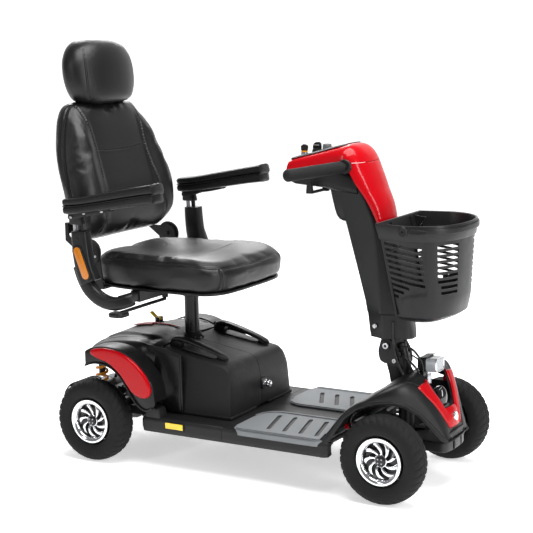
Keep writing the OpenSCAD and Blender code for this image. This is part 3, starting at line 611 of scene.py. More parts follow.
def stuffed(name, rings, pressure=4.0, limit=0.012, voxel=0.006, frames=18):
    """A closed cover blown up by a short cloth simulation, then smoothed by one subdivision."""
    obj = loft(name, rings)
    mod = obj.modifiers.new("even", "REMESH")
    mod.mode = "VOXEL"
    mod.voxel_size = voxel
    apply(obj)
    rest = np.array([v.co for v in obj.data.vertices], float)
    cloth = obj.modifiers.new("cloth", "CLOTH")
    use = cloth.settings
    use.quality = 5
    use.mass = 0.25
    use.tension_stiffness = 18
    use.compression_stiffness = 18
    use.shear_stiffness = 12
    use.bending_stiffness = 2.5
    use.use_pressure = True
    use.uniform_pressure_force = pressure
    use.effector_weights.gravity = 0
    cloth.collision_settings.use_self_collision = False
    cloth.point_cache.frame_start = 1
    cloth.point_cache.frame_end = frames
    for f in range(1, frames + 1):
        bpy.context.scene.frame_set(f)
    apply(obj)
    bpy.context.scene.frame_set(1)
    now = np.array([v.co for v in obj.data.vertices], float)
    move = now - rest
    length = np.linalg.norm(move, axis=1, keepdims=True)
    move *= np.minimum(1, limit / np.maximum(length, 1e-9))
    for v, p in zip(obj.data.vertices, rest + move):
        v.co = p
    mod = obj.modifiers.new("soft", "SMOOTH")
    mod.factor = 0.5
    mod.iterations = 4
    fine = obj.modifiers.new("fine", "SUBSURF")
    fine.levels = 1
    fine.render_levels = 1
    apply(obj)
    shade(obj.data, 80)
    return obj


def press(obj, height):
    """Moves every vertex up by height(x, y, z), with x from the rear axle."""
    for v in obj.data.vertices:
        v.co.z += height(v.co.x - AXLE, v.co.y, v.co.z)
    obj.data.update()


SEAT_HALF = [(0.407, 0.0), (0.405, 0.085), (0.394, 0.155), (0.362, 0.200), (0.304, 0.213), (0.230, 0.216),
             (0.150, 0.214), (0.060, 0.204), (0.000, 0.187), (-0.044, 0.160), (-0.066, 0.100),
             (-0.070, 0.0)]


def seat_outline(inset):
    """Plan outline of the cushion, drawn in by inset."""
    half = SEAT_HALF + [(x, -y) for x, y in reversed(SEAT_HALF[1:-1])]
    cx = 0.165
    out = []
    for x, y in smooth_rows(half, 6, closed=True):
        d = Vector((x - cx, y))
        q = d * (1 - inset / max(d.length, 0.05))
        out.append((cx + q.x, q.y))
    return out


def seat_top(x, y):
    """How much the padded top sinks below its crest: dished in the middle, falling at the front."""
    dish = 0.016 * math.exp(-((x - 0.14) / 0.15) ** 2 - (y / 0.125) ** 2)
    fall = 0.016 * ramp(x, 0.27, 0.41)
    return dish + fall


def seat_cushion():
    """Seat cushion with its seams, piping and pan-side stitches."""
    layers = [(0.024, 0.491), (0.012, 0.494), (0.008, 0.505), (0.006, 0.530), (0.006, 0.552),
              (0.010, 0.564), (0.020, 0.571), (0.045, 0.575)]
    obj = stuffed("seat_cushion_soft", [[(x, y, z) for x, y in seat_outline(i)] for i, z in layers], 3.5,
                  0.008)
    press(obj, lambda x, y, z: -seat_top(x, y) * ramp(z, 0.515, 0.572))
    tree_up = (0, 0, -1)
    border = surface_points(obj, [(x, y, 0.75) for x, y in seat_outline(0.024)], tree_up)
    groove(obj, border + border[:1], 0.0040, 0.0024, 0.0)
    front = surface_points(obj, [(0.236, y, 0.75) for y in (-0.172, -0.1, 0, 0.1, 0.172)], tree_up)
    groove(obj, [(x + 0.012 * math.cos(y * 9), y, z) for x, y, z in front], 0.0032, 0.0024, 0.0003)
    corners = []
    for side in (-1, 1):
        down = surface_points(obj, [(0.60, side * (0.158 + 0.06 * (0.56 - z)), z)
                                    for z in (0.550, 0.535, 0.515, 0.500)], (-1, 0, 0))
        groove(obj, down, 0.003, 0.003, 0.0012)
        corners.append(down)
    place(obj, "seat", LEATHER, ["seat_cushion"])
    pipe = tube("seat_piping", surface_points(obj, [(x, y, 0.75) for x, y in seat_outline(0.024)], tree_up,
                                              0.0004), 0.0013, 8, 1, closed=True)
    place(pipe, "seat", PIPING)
    inner = surface_points(obj, [(x, y, 0.75) for x, y in seat_outline(0.032)], tree_up, 0.0003)
    place(stitches("seat_stitches", inner + inner[:1]), "seat", THREAD)
    across = surface_points(obj, [(x + 0.012 * math.cos(y * 9) + 0.006, y, 0.75) for x, y, z in front],
                            tree_up, 0.0003)
    place(stitches("seat_cross_stitches", across), "seat", THREAD)
    sides = [stitches(f"seat_side_stitches_{k}", [(x + 0.0006, y + 0.004, z) for x, y, z in d])
             for k, d in enumerate(corners)]
    place(join("seat_side_stitches", sides), "seat", THREAD)


BACK_ROWS = [
    (0.606, 0.152, -0.042, -0.084), (0.616, 0.190, -0.030, -0.094), (0.650, 0.220, -0.020, -0.101),
    (0.700, 0.233, -0.018, -0.114), (0.750, 0.236, -0.022, -0.127), (0.800, 0.231, -0.036, -0.143),
    (0.860, 0.216, -0.054, -0.160), (0.920, 0.192, -0.070, -0.173), (0.958, 0.172, -0.082, -0.178),
    (0.982, 0.152, -0.090, -0.174), (0.993, 0.122, -0.102, -0.162)
]


def backrest_cushion():
    """Backrest with side bolsters, panel seams and piping."""
    rings = []
    for z, w, front, rear in smooth_rows(BACK_ROWS, 3):
        mid, depth = (front + rear) / 2, (front - rear) / 2 - 0.004
        rings.append([(mid + a, b, z) for a, b in superellipse(depth, w - 0.006, 3.4, 64)])
    obj = stuffed("backrest_soft", rings, 3.0, 0.006)
    for v in obj.data.vertices:
        side = ramp(abs(v.co.y), 0.105, 0.175) * ramp(v.co.z, 0.60, 0.68) * (1 - ramp(v.co.z, 0.90, 0.99))
        middle = -0.062 - 0.075 * ramp(v.co.z, 0.72, 0.96)
        v.co.x += 0.024 * side * ramp(v.co.x - AXLE, middle, middle + 0.035)
    look = (-1, 0, 0)
    seam_xz = [(0.131, 0.980), (0.124, 0.930), (0.119, 0.861), (0.124, 0.800), (0.136, 0.740),
               (0.150, 0.680), (0.156, 0.635)]
    threads = []
    for side in (-1, 1):
        line = surface_points(obj, [(0.3, side * y, z) for y, z in seam_xz], look)
        groove(obj, line, 0.0024, 0.0042, 0.0004)
        outer = surface_points(obj, [(0.3, side * (y + 0.006), z) for y, z in seam_xz], look, 0.0003)
        threads.append(stitches(f"back_thread_{side}", outer))
    bar_yz = [(-0.117, 0.861), (-0.06, 0.8565), (0, 0.855), (0.06, 0.8565), (0.117, 0.861)]
    line = surface_points(obj, [(0.3, y, z) for y, z in bar_yz], look)
    groove(obj, line, 0.0024, 0.0040, 0.0004)
    threads.append(stitches("back_thread_bar",
                            surface_points(obj, [(0.3, y, z - 0.006) for y, z in bar_yz], look, 0.0003)))
    rim = []
    for z, w, front, rear in smooth_rows(BACK_ROWS[1:-1], 4):
        rim.append((w, z, (front + rear) / 2))
    for side in (-1, 1):
        edge = surface_points(obj, [(x + 0.008, side * 0.5, z) for w, z, x in rim], (0, -side, 0))
        groove(obj, edge, 0.003, 0.0032, 0.0012)
        pipe_path = surface_points(obj, [(x + 0.008, side * 0.5, z) for w, z, x in rim], (0, -side, 0),
                                   0.0004)
        pipe = tube(f"back_piping_{'right' if side < 0 else 'left'}", pipe_path, 0.0019, 8, 1)
        place(pipe, "back", PIPING)
    place(obj, "back", LEATHER, ["backrest_cushion"])
    place(join("back_stitches", threads), "back", THREAD)


HEAD_ROWS = [(0.985, 0.086, 0.036), (0.992, 0.110, 0.050), (1.008, 0.127, 0.059), (1.040, 0.140, 0.063),
             (1.078, 0.143, 0.064), (1.110, 0.137, 0.062), (1.138, 0.120, 0.056), (1.156, 0.096, 0.046),
             (1.166, 0.066, 0.033), (1.170, 0.034, 0.018)]


def headrest_cushion():
    """Rounded headrest with a seam near each side."""
    rings = []
    for z, w, d in smooth_rows(HEAD_ROWS, 3):
        x = -0.112 - (z - 0.988) * 0.12
        rings.append([(x + a, b, z) for a, b in superellipse(d - 0.002, w - 0.003, 2.35, 56)])
    obj = stuffed("headrest_soft", rings, 3.0, 0.007)
    threads = []
    for side in (-1, 1):
        yz = [(0.100, 1.140), (0.108, 1.110), (0.112, 1.070), (0.110, 1.030), (0.102, 1.002)]
        line = surface_points(obj, [(0.3, side * y, z) for y, z in yz], (-1, 0, 0))
        groove(obj, line, 0.0022, 0.0032, 0.0003)
        threads.append(stitches(f"headrest_thread_{side}",
                                surface_points(obj, [(0.3, side * (y - 0.005), z) for y, z in yz],
                                               (-1, 0, 0), 0.0003)))
    place(obj, "headrest", LEATHER, ["headrest_cushion"])
    place(join("headrest_stitches", threads), "headrest", THREAD)


def seat_details():
    """Hinge discs with their bolts and screws, and the pan under the cushion."""
    for hand, side in (("left", 1), ("right", -1)):
        disc = coat(revolve(f"hinge_disc_{hand}",
                            [(ON_AXIS, side * 0.2045), (0.012, side * 0.2045), (0.014, side * 0.2025),
                             (0.030, side * 0.2015), (0.0345, side * 0.1990), (0.0355, side * 0.1935),
                             (ON_AXIS, side * 0.1935)], (-0.028, 0, 0.583), n=48), FRAME)
        bolt = coat(revolve(f"hinge_bolt_{hand}",
                            [(ON_AXIS, side * 0.2095), (0.0060, side * 0.2095), (0.0072, side * 0.2080),
                             (0.0072, side * 0.2040), (ON_AXIS, side * 0.2040)], (-0.028, 0, 0.583), n=6),
                    STEEL)
        screws = []
        for k in range(3):
            a = math.radians(90 + 120 * k)
            s = coat(revolve(f"hinge_screw_{hand}_{k}",
                             [(ON_AXIS, side * 0.2040), (0.0032, side * 0.2037), (0.0040, side * 0.2020),
                              (0.0040, side * 0.2010), (ON_AXIS, side * 0.2010)],
                             (-0.028 + 0.0235 * math.cos(a), 0, 0.583 + 0.0235 * math.sin(a)), n=16), STEEL)
            screws.append(s)
        place(join(f"recline_hinge_{hand}", [disc, bolt, *screws]), "back", None)
    pan = sheet_z("seat_pan", [(x, y) for x, y in seat_outline(0.020)], 0.4835, 0.4905)
    place(bevel(pan, 0.0015, 2), "seat", FRAME)


def reflector(name, x0, z0, x1, z1, y, half, out, material, depth=0.0035):
    """Stadium-shaped lens in a bevelled black surround, on a face at y."""
    a, b = Vector((x0, z0)), Vector((x1, z1))
    d = (b - a).normalized()
    n = Vector((-d.y, d.x))

    def stadium(r):
        points = []
        for centre, start in ((b, -90), (a, 90)):
            for k in range(13):
                t = math.radians(start + 15 * k)
                q = centre + d * r * math.cos(t) + n * r * math.sin(t)
                points.append((q.x, q.y))
        return points

    y0, y1 = sorted((y - out * 0.002, y + out * depth))
    frame_part = coat(bevel(slab(name + "_frame", stadium(half), y0, y1), 0.0012, 2), CONSOLE)
    y0, y1 = sorted((y, y + out * (depth + 0.0012)))
    lens = coat(bevel(slab(name + "_lens", stadium(half - 0.0050), y0, y1), 0.0010, 2), material)
    return [frame_part, lens]


def arm_parts(hand):
    """Bracket, reflector, rods, rail and pad of one armrest."""
    side = 1 if hand == "left" else -1
    b_body, a_body = ("bracket_l", "arm_l") if hand == "left" else ("bracket_r", "arm_r")
    y = ARM_Y
    path = smooth_rows([(0.0035, y, 0.560), (0.014, y, 0.528), (0.030, y, 0.499), (0.055, y, 0.477),
                        (0.085, y - 0.001, 0.464), (0.115, y - 0.006, 0.461), (0.140, y - 0.017, 0.467),
                        (0.150, y - 0.030, 0.472)], 6)
    n = len(path)
    tube_part = coat(sweep(f"bow_{hand}", [(px, side * py, pz) for px, py, pz in path],
                           [0.0165 - 0.002 * k / n for k in range(n)],
                           [0.0215 - 0.005 * k / n for k in range(n)], power=3.4, n=32), ARM)
    # the upper sleeve overlaps the bow and ends in a cap edge
    sleeve_path = smooth_rows([(0.034, 0.515), (0.022, 0.545), (0.013, 0.585), (0.009, 0.630),
                               (0.008, 0.655)], 5)
    m = len(sleeve_path)
    sleeve = coat(bevel(sweep(f"sleeve_{hand}", [(px, side * y, pz) for px, pz in sleeve_path], 0.0195,
                              [0.0290 - 0.0045 * k / m for k in range(m)], power=3.8, n=36), 0.0018, 2, 50),
                  ARM)
    rib = [block(f"rib_{hand}_{k}", (-0.006 + 0.008 * k, side * (y + 0.0185) - 0.0014, 0.632),
                 (-0.003 + 0.008 * k, side * (y + 0.0185) + 0.0014, 0.652), 0.0005) for k in range(4)]
    for r in rib:
        coat(r, ARM)
    lens = reflector(f"arm_reflector_{hand}", 0.0085, 0.602, 0.0335, 0.538, side * (y + 0.0192), 0.0165,
                     side, AMBER)
    plug = coat(revolve(f"plug_{hand}",
                        [(ON_AXIS, side * 0.0012), (0.0042, side * 0.0010), (0.0052, 0.0),
                         (ON_AXIS, -side * 0.001)], (0.008, side * (y + 0.0192), 0.636), n=20), CONSOLE)
    place(join(f"arm_bracket_{hand}_shell", [tube_part, sleeve, *rib, *lens, plug]), b_body,
          None, [f"arm_bracket_{hand}"])
    # telescoping bar below the cushion
    low, high = sorted((side * 0.062, side * 0.262))
    bar = block(f"arm_bar_{hand}", (0.1082, low, 0.4562), (0.1318, high, 0.4798), 0.002)
    place(bar, b_body, FRAME)
    rods = []
    for k, (px, mat) in enumerate(((-0.009, STEEL), (0.010, FRAME))):
        rods.append(coat(tube(f"rod_{hand}_{k}", [(px, side * y, 0.640), (px - 0.004, side * y, 0.706)],
                              0.0062, 16, 1), mat))
    head = coat(bevel(slab(f"rod_head_{hand}",
                           rounded([(-0.026, 0.672), (0.020, 0.672), (0.012, 0.700), (-0.024, 0.705)],
                                   0.006), *sorted((side * (y - 0.0085), side * (y + 0.0085)))), 0.0015, 2),
                FRAME)
    place(join(f"arm_rods_{hand}", [*rods, head]), b_body, None)
    arm_top(hand, side, a_body, y)


def arm_top(hand, side, body, y):
    """Lower moulded rail, soft pad on top, and the cheeks round the hinge."""
    rail_path = smooth_rows([(-0.044, 0.7105), (0.020, 0.716), (0.110, 0.731), (0.200, 0.7465),
                             (0.252, 0.7545), (0.264, 0.7565)], 5)
    n = len(rail_path)

    def size(k, full, end):
        t = k / (n - 1)
        edge = min(1.0, min(t, 1 - t) * 12 + 0.25)
        return (full + (end - full) * t) * math.sin(math.pi / 2 * edge)

    rail = coat(sweep(f"rail_{hand}", [(px, side * y, pz) for px, pz in rail_path],
                      [size(k, 0.0265, 0.028) for k in range(n)],
                      [size(k, 0.0115, 0.0150) for k in range(n)], power=4.5, n=36), ARM)
    lip = coat(sweep(f"lip_{hand}", [(px, side * y, pz + 0.0105) for px, pz in rail_path],
                     [size(k, 0.0292, 0.0305) for k in range(n)], [0.0022] * n, power=4, n=28), ARM)
    pad_path = [(px, pz + 0.0215 + 0.003 * k / n) for k, (px, pz) in enumerate(rail_path)]
    pad = sweep(f"pad_{hand}", [(px, side * y, pz) for px, pz in pad_path],
                [size(k, 0.0285, 0.0305) for k in range(n)], [size(k, 0.0105, 0.0145) for k in range(n)],
                power=3.6, n=40)
    cheek_outline = rounded([(-0.022, 0.706), (0.120, 0.722), (0.118, 0.714), (0.080, 0.706),
                             (0.040, 0.700), (0.010, 0.690), (-0.012, 0.684), (-0.026, 0.688)], 0.006)
    cheeks = []
    for k, (y0, y1) in enumerate(((y - 0.014, y - 0.0095), (y + 0.0095, y + 0.014))):
        cheek = slab(f"under_{hand}_{k}", cheek_outline, *sorted((side * y0, side * y1)))
        cheeks.append(coat(bevel(cheek, 0.001, 2), FRAME))
    screws = []
    for k, (px, pz) in enumerate(((-0.014, 0.693), (0.030, 0.706), (0.090, 0.7135))):
        screws.append(coat(revolve(f"cheek_screw_{hand}_{k}",
                                   [(ON_AXIS, side * 0.0170), (0.0034, side * 0.0168),
                                    (0.0044, side * 0.0155), (0.0044, side * 0.0130),
                                    (ON_AXIS, side * 0.0130)], (px, side * y, pz), n=18), STEEL))
    place(join(f"arm_rail_{hand}_shell", [rail, lip, *cheeks, *screws]), body, None,
          [f"arm_rail_{hand}"])
    place(pad, body, PAD, [f"arm_pad_{hand}"])


def seat():
    """Everything that is carried by the seat post."""
    seat_cushion()
    backrest_cushion()
    headrest_cushion()
    seat_details()
    for hand in ("left", "right"):
        arm_parts(hand)


# ------------------------------------------------------------------ deck and covers

def lookup(rows, x):
    """Row of numbers at x, read between rows that begin with their x."""
    xs = [r[0] for r in rows]
    return [float(np.interp(x, xs, [r[k] for r in rows])) for k in range(1, len(rows[0]))]


def arch_point(t, half_w, edge, top, power):
    """Point on an arch for t from -1 (right edge) over the top (0) to 1 (left edge)."""
    a = math.pi / 2 * (1 - t)
    c, s = math.cos(a), math.sin(a)
    return (half_w * math.copysign(abs(c) ** (2 / power), c), edge + (top - edge) * abs(s) ** (2 / power))


def skin(name, rows, across, thickness, relief=None, keep=None, angle=40, x_steps=5):
    """Arched cover through rows of x, half width, edge height, top height and squareness.

    relief(x, y, z) sinks the surface by that much; keep(x, y, z) says which faces stay."""
    rows = smooth_rows(rows, x_steps)
    verts, faces = [], []
    ts = [math.copysign(abs(t) ** 0.8, t) for t in np.linspace(-1, 1, across)]
    for x, w, edge, top, power in rows:
        for t in ts:
            y, z = arch_point(t, w, edge, top, power)
            sink = relief(x, y, z) if relief else 0.0
            verts.append((x, y, z - sink))
    for j in range(len(rows) - 1):
        for i in range(across - 1):
            quad = (j * across + i, j * across + i + 1, (j + 1) * across + i + 1, (j + 1) * across + i)
            mid = [sum(verts[k][a] for k in quad) / 4 for a in range(3)]
            if keep is None or keep(*mid):
                faces.append(quad)
    used = sorted({k for f in faces for k in f})
    index = {k: i for i, k in enumerate(used)}
    obj = mesh_object(name, [verts[k] for k in used], [tuple(index[k] for k in f) for f in faces], angle)
    # the arch's outer side faces up, so the wall grows inwards
    up = sum(f.normal.z * f.area for f in obj.data.polygons)
    solidify(obj, thickness, -1 if up > 0 else 1)
    shade(obj.data, angle)
    return obj


def deck():
    """Deck pan with rolled skirts, steps, feet and side reflectors."""
    half = [(0.152, 0.222), (0.716, 0.222), (0.724, 0.200), (0.727, 0.118), (0.760, 0.100), (0.786, 0.090)]
    outline = half + [(x, -y) for x, y in reversed(half)]
    pan = sheet_z("deck_top", rounded(outline, [0.004, 0.012, 0.01, 0.02, 0.02, 0.01] * 2, 4), 0.1310,
                  DECK_Z)
    hole = revolve("hole", [(ON_AXIS, 0.1), (0.030, 0.1), (0.030, 0.2), (ON_AXIS, 0.2)], (POST_X, 0, 0),
                   "z", 40)
    cut(pan, [hole])
    bevel(pan, 0.0012, 2)
    skirt_profile = rounded([(0.2200, DECK_Z + 0.0006), (0.2310, DECK_Z + 0.0006), (0.2365, 0.1355),
                             (0.2365, 0.112), (0.2335, 0.101), (0.2295, 0.101), (0.2325, 0.113),
                             (0.2325, 0.134), (0.2200, 0.137)], 0.0035, 4)
    skirts = []
    for side in (-1, 1):
        rings = []
        for x, lift, draw in ((0.1560, 0.006, 0.004), (0.1600, 0.001, 0.001), (0.1680, 0, 0), (0.412, 0, 0),
                              (0.4128, 0.0, 0.0012), (0.4142, 0.0, 0.0012), (0.415, 0, 0), (0.718, 0, 0),
                              (0.7300, 0.002, 0.002), (0.7355, 0.008, 0.008)):
            rings.append([(x, side * (y - draw), z + (lift if z < 0.12 else 0)) for y, z in skirt_profile])
        skirts.append(loft(f"skirt_{side}", rings))
    # a raised step in front of each rear fender, and feet under the pan
    for side in (-1, 1):
        y0, y1 = sorted((side * 0.196, side * 0.2335))
        step = slab(f"step_{side}", rounded([(0.166, 0.140), (0.216, 0.140), (0.209, 0.168),
                                             (0.168, 0.174)], 0.006), y0, y1)
        skirts.append(bevel(step, 0.003, 3))
        for x in (0.30, 0.47, 0.61):
            y0, y1 = sorted((side * 0.150, side * 0.205))
            skirts.append(bevel(slab(f"foot_{side}_{x}",
                                     rounded([(x, 0.094), (x + 0.028, 0.094), (x + 0.034, 0.132),
                                              (x - 0.006, 0.132)], 0.004), y0, y1), 0.0015, 2))
    seam = sheet_z("deck_seam", [(0.4115, -0.2215), (0.4145, -0.2215), (0.4145, 0.2215), (0.4115, 0.2215)],
                   DECK_Z - 0.001, DECK_Z + 0.0004)
    place(join("deck_shell", [pan, *skirts]), "chassis", DECK, ["deck_pan"])
    place(seam, "chassis", CONSOLE)
    reflectors = []
    for side in (-1, 1):
        y0, y1 = sorted((side * 0.2362, side * 0.2392))
        frame_part = coat(bevel(slab(f"side_frame_{side}",
                                     rounded([(0.233, 0.1165), (0.295, 0.1165), (0.295, 0.1375),
                                              (0.233, 0.1375)], 0.003), y0, y1), 0.0008, 2), CONSOLE)
        y0, y1 = sorted((side * 0.2372, side * 0.2404))
        lens = coat(bevel(slab(f"side_lens_{side}",
                               rounded([(0.2360, 0.1190), (0.292, 0.1190), (0.292, 0.1350),
                                        (0.2360, 0.1350)], 0.002), y0, y1), 0.0007, 2), YELLOW_LENS)
        reflectors += [frame_part, lens]
    place(join("side_reflectors", reflectors), "chassis", None)


MAT_END = 0.722


def floor_mat(hand, side):
    """One mat: flat, with rounded corners and an edge that turns down over the deck's side."""
    top_z = DECK_Z + 0.0042
    section = [(0.028, 0), (0.034, 0.0006), (0.222, 0.0006), (0.2310, 0.0002), (0.2368, -0.0030),
               (0.2392, -0.0085), (0.2396, -0.0165)]
    outer = smooth_rows(section, 5)
    rings = []
    count = 46
    for k in range(count + 1):
        x = 0.443 + (MAT_END - 0.443) * k / count
        ring = []
        start = 0.050 + 0.060 * (1 - math.sqrt(1 - (max(0.0, 0.503 - x) / 0.060) ** 2))
        for y, dz in outer:
            y = y if y > 0.222 else start + (y - 0.028) * (0.222 - start) / 0.194
            # rounded corners in plan: the outer edge draws in near both ends
            end = max(0.0, 0.034 - min(x - 0.443, MAT_END - x)) / 0.034
            draw = 0.034 * (1 - math.sqrt(max(0.0, 1 - end ** 2)))
            limit = 0.2396 - draw
            ring.append((x, side * min(y, limit), top_z + dz))
        rings.append(ring)
    mat = loft(f"mat_{hand}", rings, caps=False, closed=False)
    solidify(mat, 0.0036, -1 if sum(f.normal.z * f.area for f in mat.data.polygons) > 0 else 1)
    slots = []
    for i in range(4):
        cx, cy = 0.520 + 0.048 * i, 0.138
        a = math.radians(116 if side > 0 else 105)
        reach = 0.052 if side > 0 else 0.062
        d = Vector((math.cos(a), math.sin(a)))
        n = Vector((-d.y, d.x))
        outline = []
        for centre, start in ((1, -90), (-1, 90)):
            for k in range(9):
                t = math.radians(start + 22.5 * k)
                q = Vector((cx, side * cy)) + d * (centre * reach + 0.0060
                                                   * math.cos(t)) + n * 0.0060 * math.sin(t)
                outline.append((q.x, q.y))
        slots.append(sheet_z(f"slot_{hand}_{i}", outline, DECK_Z - 0.004, DECK_Z + 0.02))
    cut(mat, slots)
    bevel(mat, 0.0009, 2, 45)
    return mat


def floor_mats():
    """The two slotted mats, and a darker sheet under their slots that paints the shade seen through them."""
    mats = [floor_mat("left", 1), floor_mat("right", -1)]
    place(join("floor_mats_moulded", mats), "chassis", MAT, ["floor_mats"])
    # darker sheet on the deck, only under the slots: painted shade for the gaps below the mat
    base = []
    for side in (-1, 1):
        y0, y1 = sorted((side * 0.070, side * 0.206))
        base.append(block(f"mat_bed_{side}", (0.476, y0, DECK_Z), (0.690, y1, DECK_Z + 0.0012)))
    place(join("mat_bed", base), "chassis", CONSOLE)


SHROUD_ROWS = [(-0.086, 0.120, 0.270, 0.296, 3.0), (-0.078, 0.152, 0.266, 0.306, 3.4),
               (-0.060, 0.171, 0.262, 0.318, 3.8), (-0.020, 0.186, 0.258, 0.331, 4.4),
               (0.040, 0.192, 0.256, 0.340, 5.0), (0.090, 0.193, 0.252, 0.342, 5.2),
               (0.120, 0.193, 0.238, 0.339, 5.4), (0.140, 0.193, 0.172, 0.334, 6.0),
               (0.169, 0.193, 0.146, 0.326, 6.4)]


def shroud_relief(x, y, z):
    """Sunken field on each side of a raised middle, with a second step near the shoulder."""
    side = abs(y)
    front = ramp(x, -0.080, -0.050)
    fade = 1 - ramp(x, 0.120, 0.150)
    line = 0.070 + 0.030 * ramp(x, -0.05, 0.10)
    step = 0.0065 * ramp(side, line, line + 0.010) * (1 - ramp(side, 0.150, 0.164))
    rib = 0.0022 * (1 - ramp(abs(side - 0.118), 0.0025, 0.0055))
    hump = -0.006 * (1 - ramp(side, 0.022, 0.040)) * ramp(x, -0.06, 0.0)
    return front * (fade * (step + rib) + hump)


def rear_covers():
    """Rear shroud, its red flash, its cheeks and the freewheel lever."""
    shell = skin("shroud_shell", SHROUD_ROWS, 141, 0.003, shroud_relief,
                 keep=lambda x, y, z: not ((x - POST_X) ** 2 + y * y < 0.0325 ** 2), x_steps=9)
    tail = loft("shroud_tail", [
        [(-0.086 + dx, y * k, 0.268 + (z - 0.268) * k) for y, z in
         [arch_point(t, 0.120, 0.270, 0.296, 3.0) for t in np.linspace(-1, 1, 41)]]
        for dx, k in ((0.0005, 1.0), (-0.0030, 0.97), (-0.0045, 0.90))])
    place(join("rear_shroud_shell", [shell, tail]), "chassis", SHROUD, ["rear_shroud"])
    # red flag and stripe along the hump, then cheeks that close the gap to the batteries
    pts = [(x, 0.0, z) for x, z in ((-0.020, 0.3390), (0.010, 0.3450), (0.045, 0.3490))]
    flag = sweep("shroud_flag", smooth_rows(pts, 12), [0.0165] * 25, [0.0016] * 25, power=5, n=20)
    pts = [(x, 0.0, z) for x, z in ((0.045, 0.3490), (0.080, 0.3497), (0.110, 0.3485), (0.130, 0.3455))]
    stripe = sweep("shroud_stripe", smooth_rows(pts, 8), [0.0035] * 25, [0.0012] * 25, power=4, n=14)
    place(join("shroud_flash", [flag, stripe]), "chassis", RED)
    cheeks = []
    for side in (-1, 1):
        cheek = slab(f"cheek_{side}", rounded([(0.150, 0.160), (0.216, 0.1435), (0.252, 0.1435),
                                               (0.250, 0.310), (0.200, 0.3235), (0.140, 0.3305)], 0.006),
                     *sorted((side * 0.1712, side * 0.1745)))
        cheeks.append(bevel(cheek, 0.0010, 2))
        panel = slab(f"cheek_panel_{side}",
                     rounded([(0.165, 0.150), (0.246, 0.1500), (0.244, 0.3060), (0.165, 0.3200)], 0.006),
                     *sorted((side * 0.1735, side * 0.1765)))
        cheeks.append(bevel(panel, 0.0016, 3))
    place(join("shroud_cheeks", cheeks), "chassis", SHROUD)
    lever = sweep("yellow_lever", smooth_rows([(0.000, 0.051, 0.3690), (0.0045, 0.051, 0.3650),
                                               (0.014, 0.051, 0.3570), (0.0270, 0.051, 0.3500)], 4),
                  [0.0062] * 13, [0.0026, 0.0036] + [0.0040] * 11, power=3.4, n=20)
    boss = revolve("yellow_boss", [(ON_AXIS, 0.0425), (0.0042, 0.0430), (0.0050, 0.0440), (0.0050, 0.0580),
                                   (0.0042, 0.0590), (ON_AXIS, 0.0595)], (0.027, 0, 0.350), n=28)
    place(join("freewheel_handle", [lever, boss]), "freewheel", YELLOW, ["freewheel_lever"])
    lugs = [block(f"lever_lug_{k}", (0.0205, y0, 0.3300), (0.0335, y0 + 0.0030, 0.3560), 0.0008)
            for k, y0 in enumerate((0.0390, 0.0600))]
    foot = block("lever_foot", (0.0180, 0.0380, 0.3270), (0.0360, 0.0640, 0.3425), 0.0010)
    place(join("lever_lugs", [*lugs, foot]), "chassis", SHROUD)


def fender_outlines():
    """Side view of a rear fender: the arch over the wheel, then the crest above it."""
    edge = [(-0.018, 0.270), (0.010, 0.279), (0.038, 0.280), (0.070, 0.272), (0.099, 0.252), (0.123, 0.221),
            (0.143, 0.190), (0.162, 0.171), (0.182, 0.164), (0.205, 0.172)]
    crest = [(0.213, 0.190), (0.208, 0.224), (0.190, 0.262), (0.150, 0.302), (0.106, 0.325), (0.056, 0.332),
             (0.010, 0.326), (-0.018, 0.314)]
    return smooth_rows(edge, 5), smooth_rows(crest, 5)


def rear_fenders():
    """Arched fenders with red crescents over the rear wheels."""
    edge, crest = fender_outlines()
    outline = edge + crest
    bodies, trims, lips = [], [], []
    for side in (-1, 1):
        y_in, y_out = side * 0.1950, side * 0.2530
        rings = []
        for y, shrink in ((y_in, 0.0), (side * 0.2440, 0.0), (side * 0.2505, 0.0018), (y_out, 0.0070)):
            rings.append([(x, y, z - shrink) for x, z in crest])
        roof = loft(f"fender_roof_{side}", rings, caps=False, closed=False)
        solidify(roof, 0.003, -1 if sum(f.normal.z * f.area for f in roof.data.polygons) > 0 else 1)
        y0, y1 = sorted((side * 0.2500, y_out))
        face = bevel(slab(f"fender_face_{side}",
                          [(x, z - 0.004 if (x, z) in crest else z) for x, z in outline], y0, y1), 0.0008,
                     2)
        lip = sweep(f"fender_lip_{side}", [(x, side * 0.2535, z + 0.002) for x, z in edge],
                    [0.0040] * len(edge), [0.0026] * len(edge), power=3, n=14)
        bodies += [roof, face]
        lips.append(lip)
        red = [(0.008, 0.306), (0.030, 0.3010), (0.063, 0.289), (0.100, 0.264), (0.126, 0.233),
               (0.145, 0.211), (0.166, 0.201), (0.186, 0.201), (0.199, 0.211), (0.202, 0.230),
               (0.186, 0.264), (0.147, 0.300), (0.102, 0.321), (0.054, 0.3275), (0.018, 0.3230),
               (0.004, 0.3160)]
        red = smooth_rows(red, 5, closed=True)
        cx, cz = 0.110, 0.275
        rings = []
        for out, k in ((0.2530, 1.0), (0.2560, 1.0), (0.2588, 0.985), (0.2604, 0.95), (0.2612, 0.86),
                       (0.2615, 0.70)):
            rings.append([(cx + (x - cx) * k, side * out, cz + (z - cz) * k) for x, z in red])
        trims.append(loft(f"red_crescent_{side}", rings, angle=60))
    place(join("rear_fender_shells", bodies + lips), "chassis", SHROUD, ["rear_fenders"])
    place(join("rear_fender_crescents", trims), "chassis", RED, ["rear_fender_trims"])


# ------------------------------------------------------------------ batteries

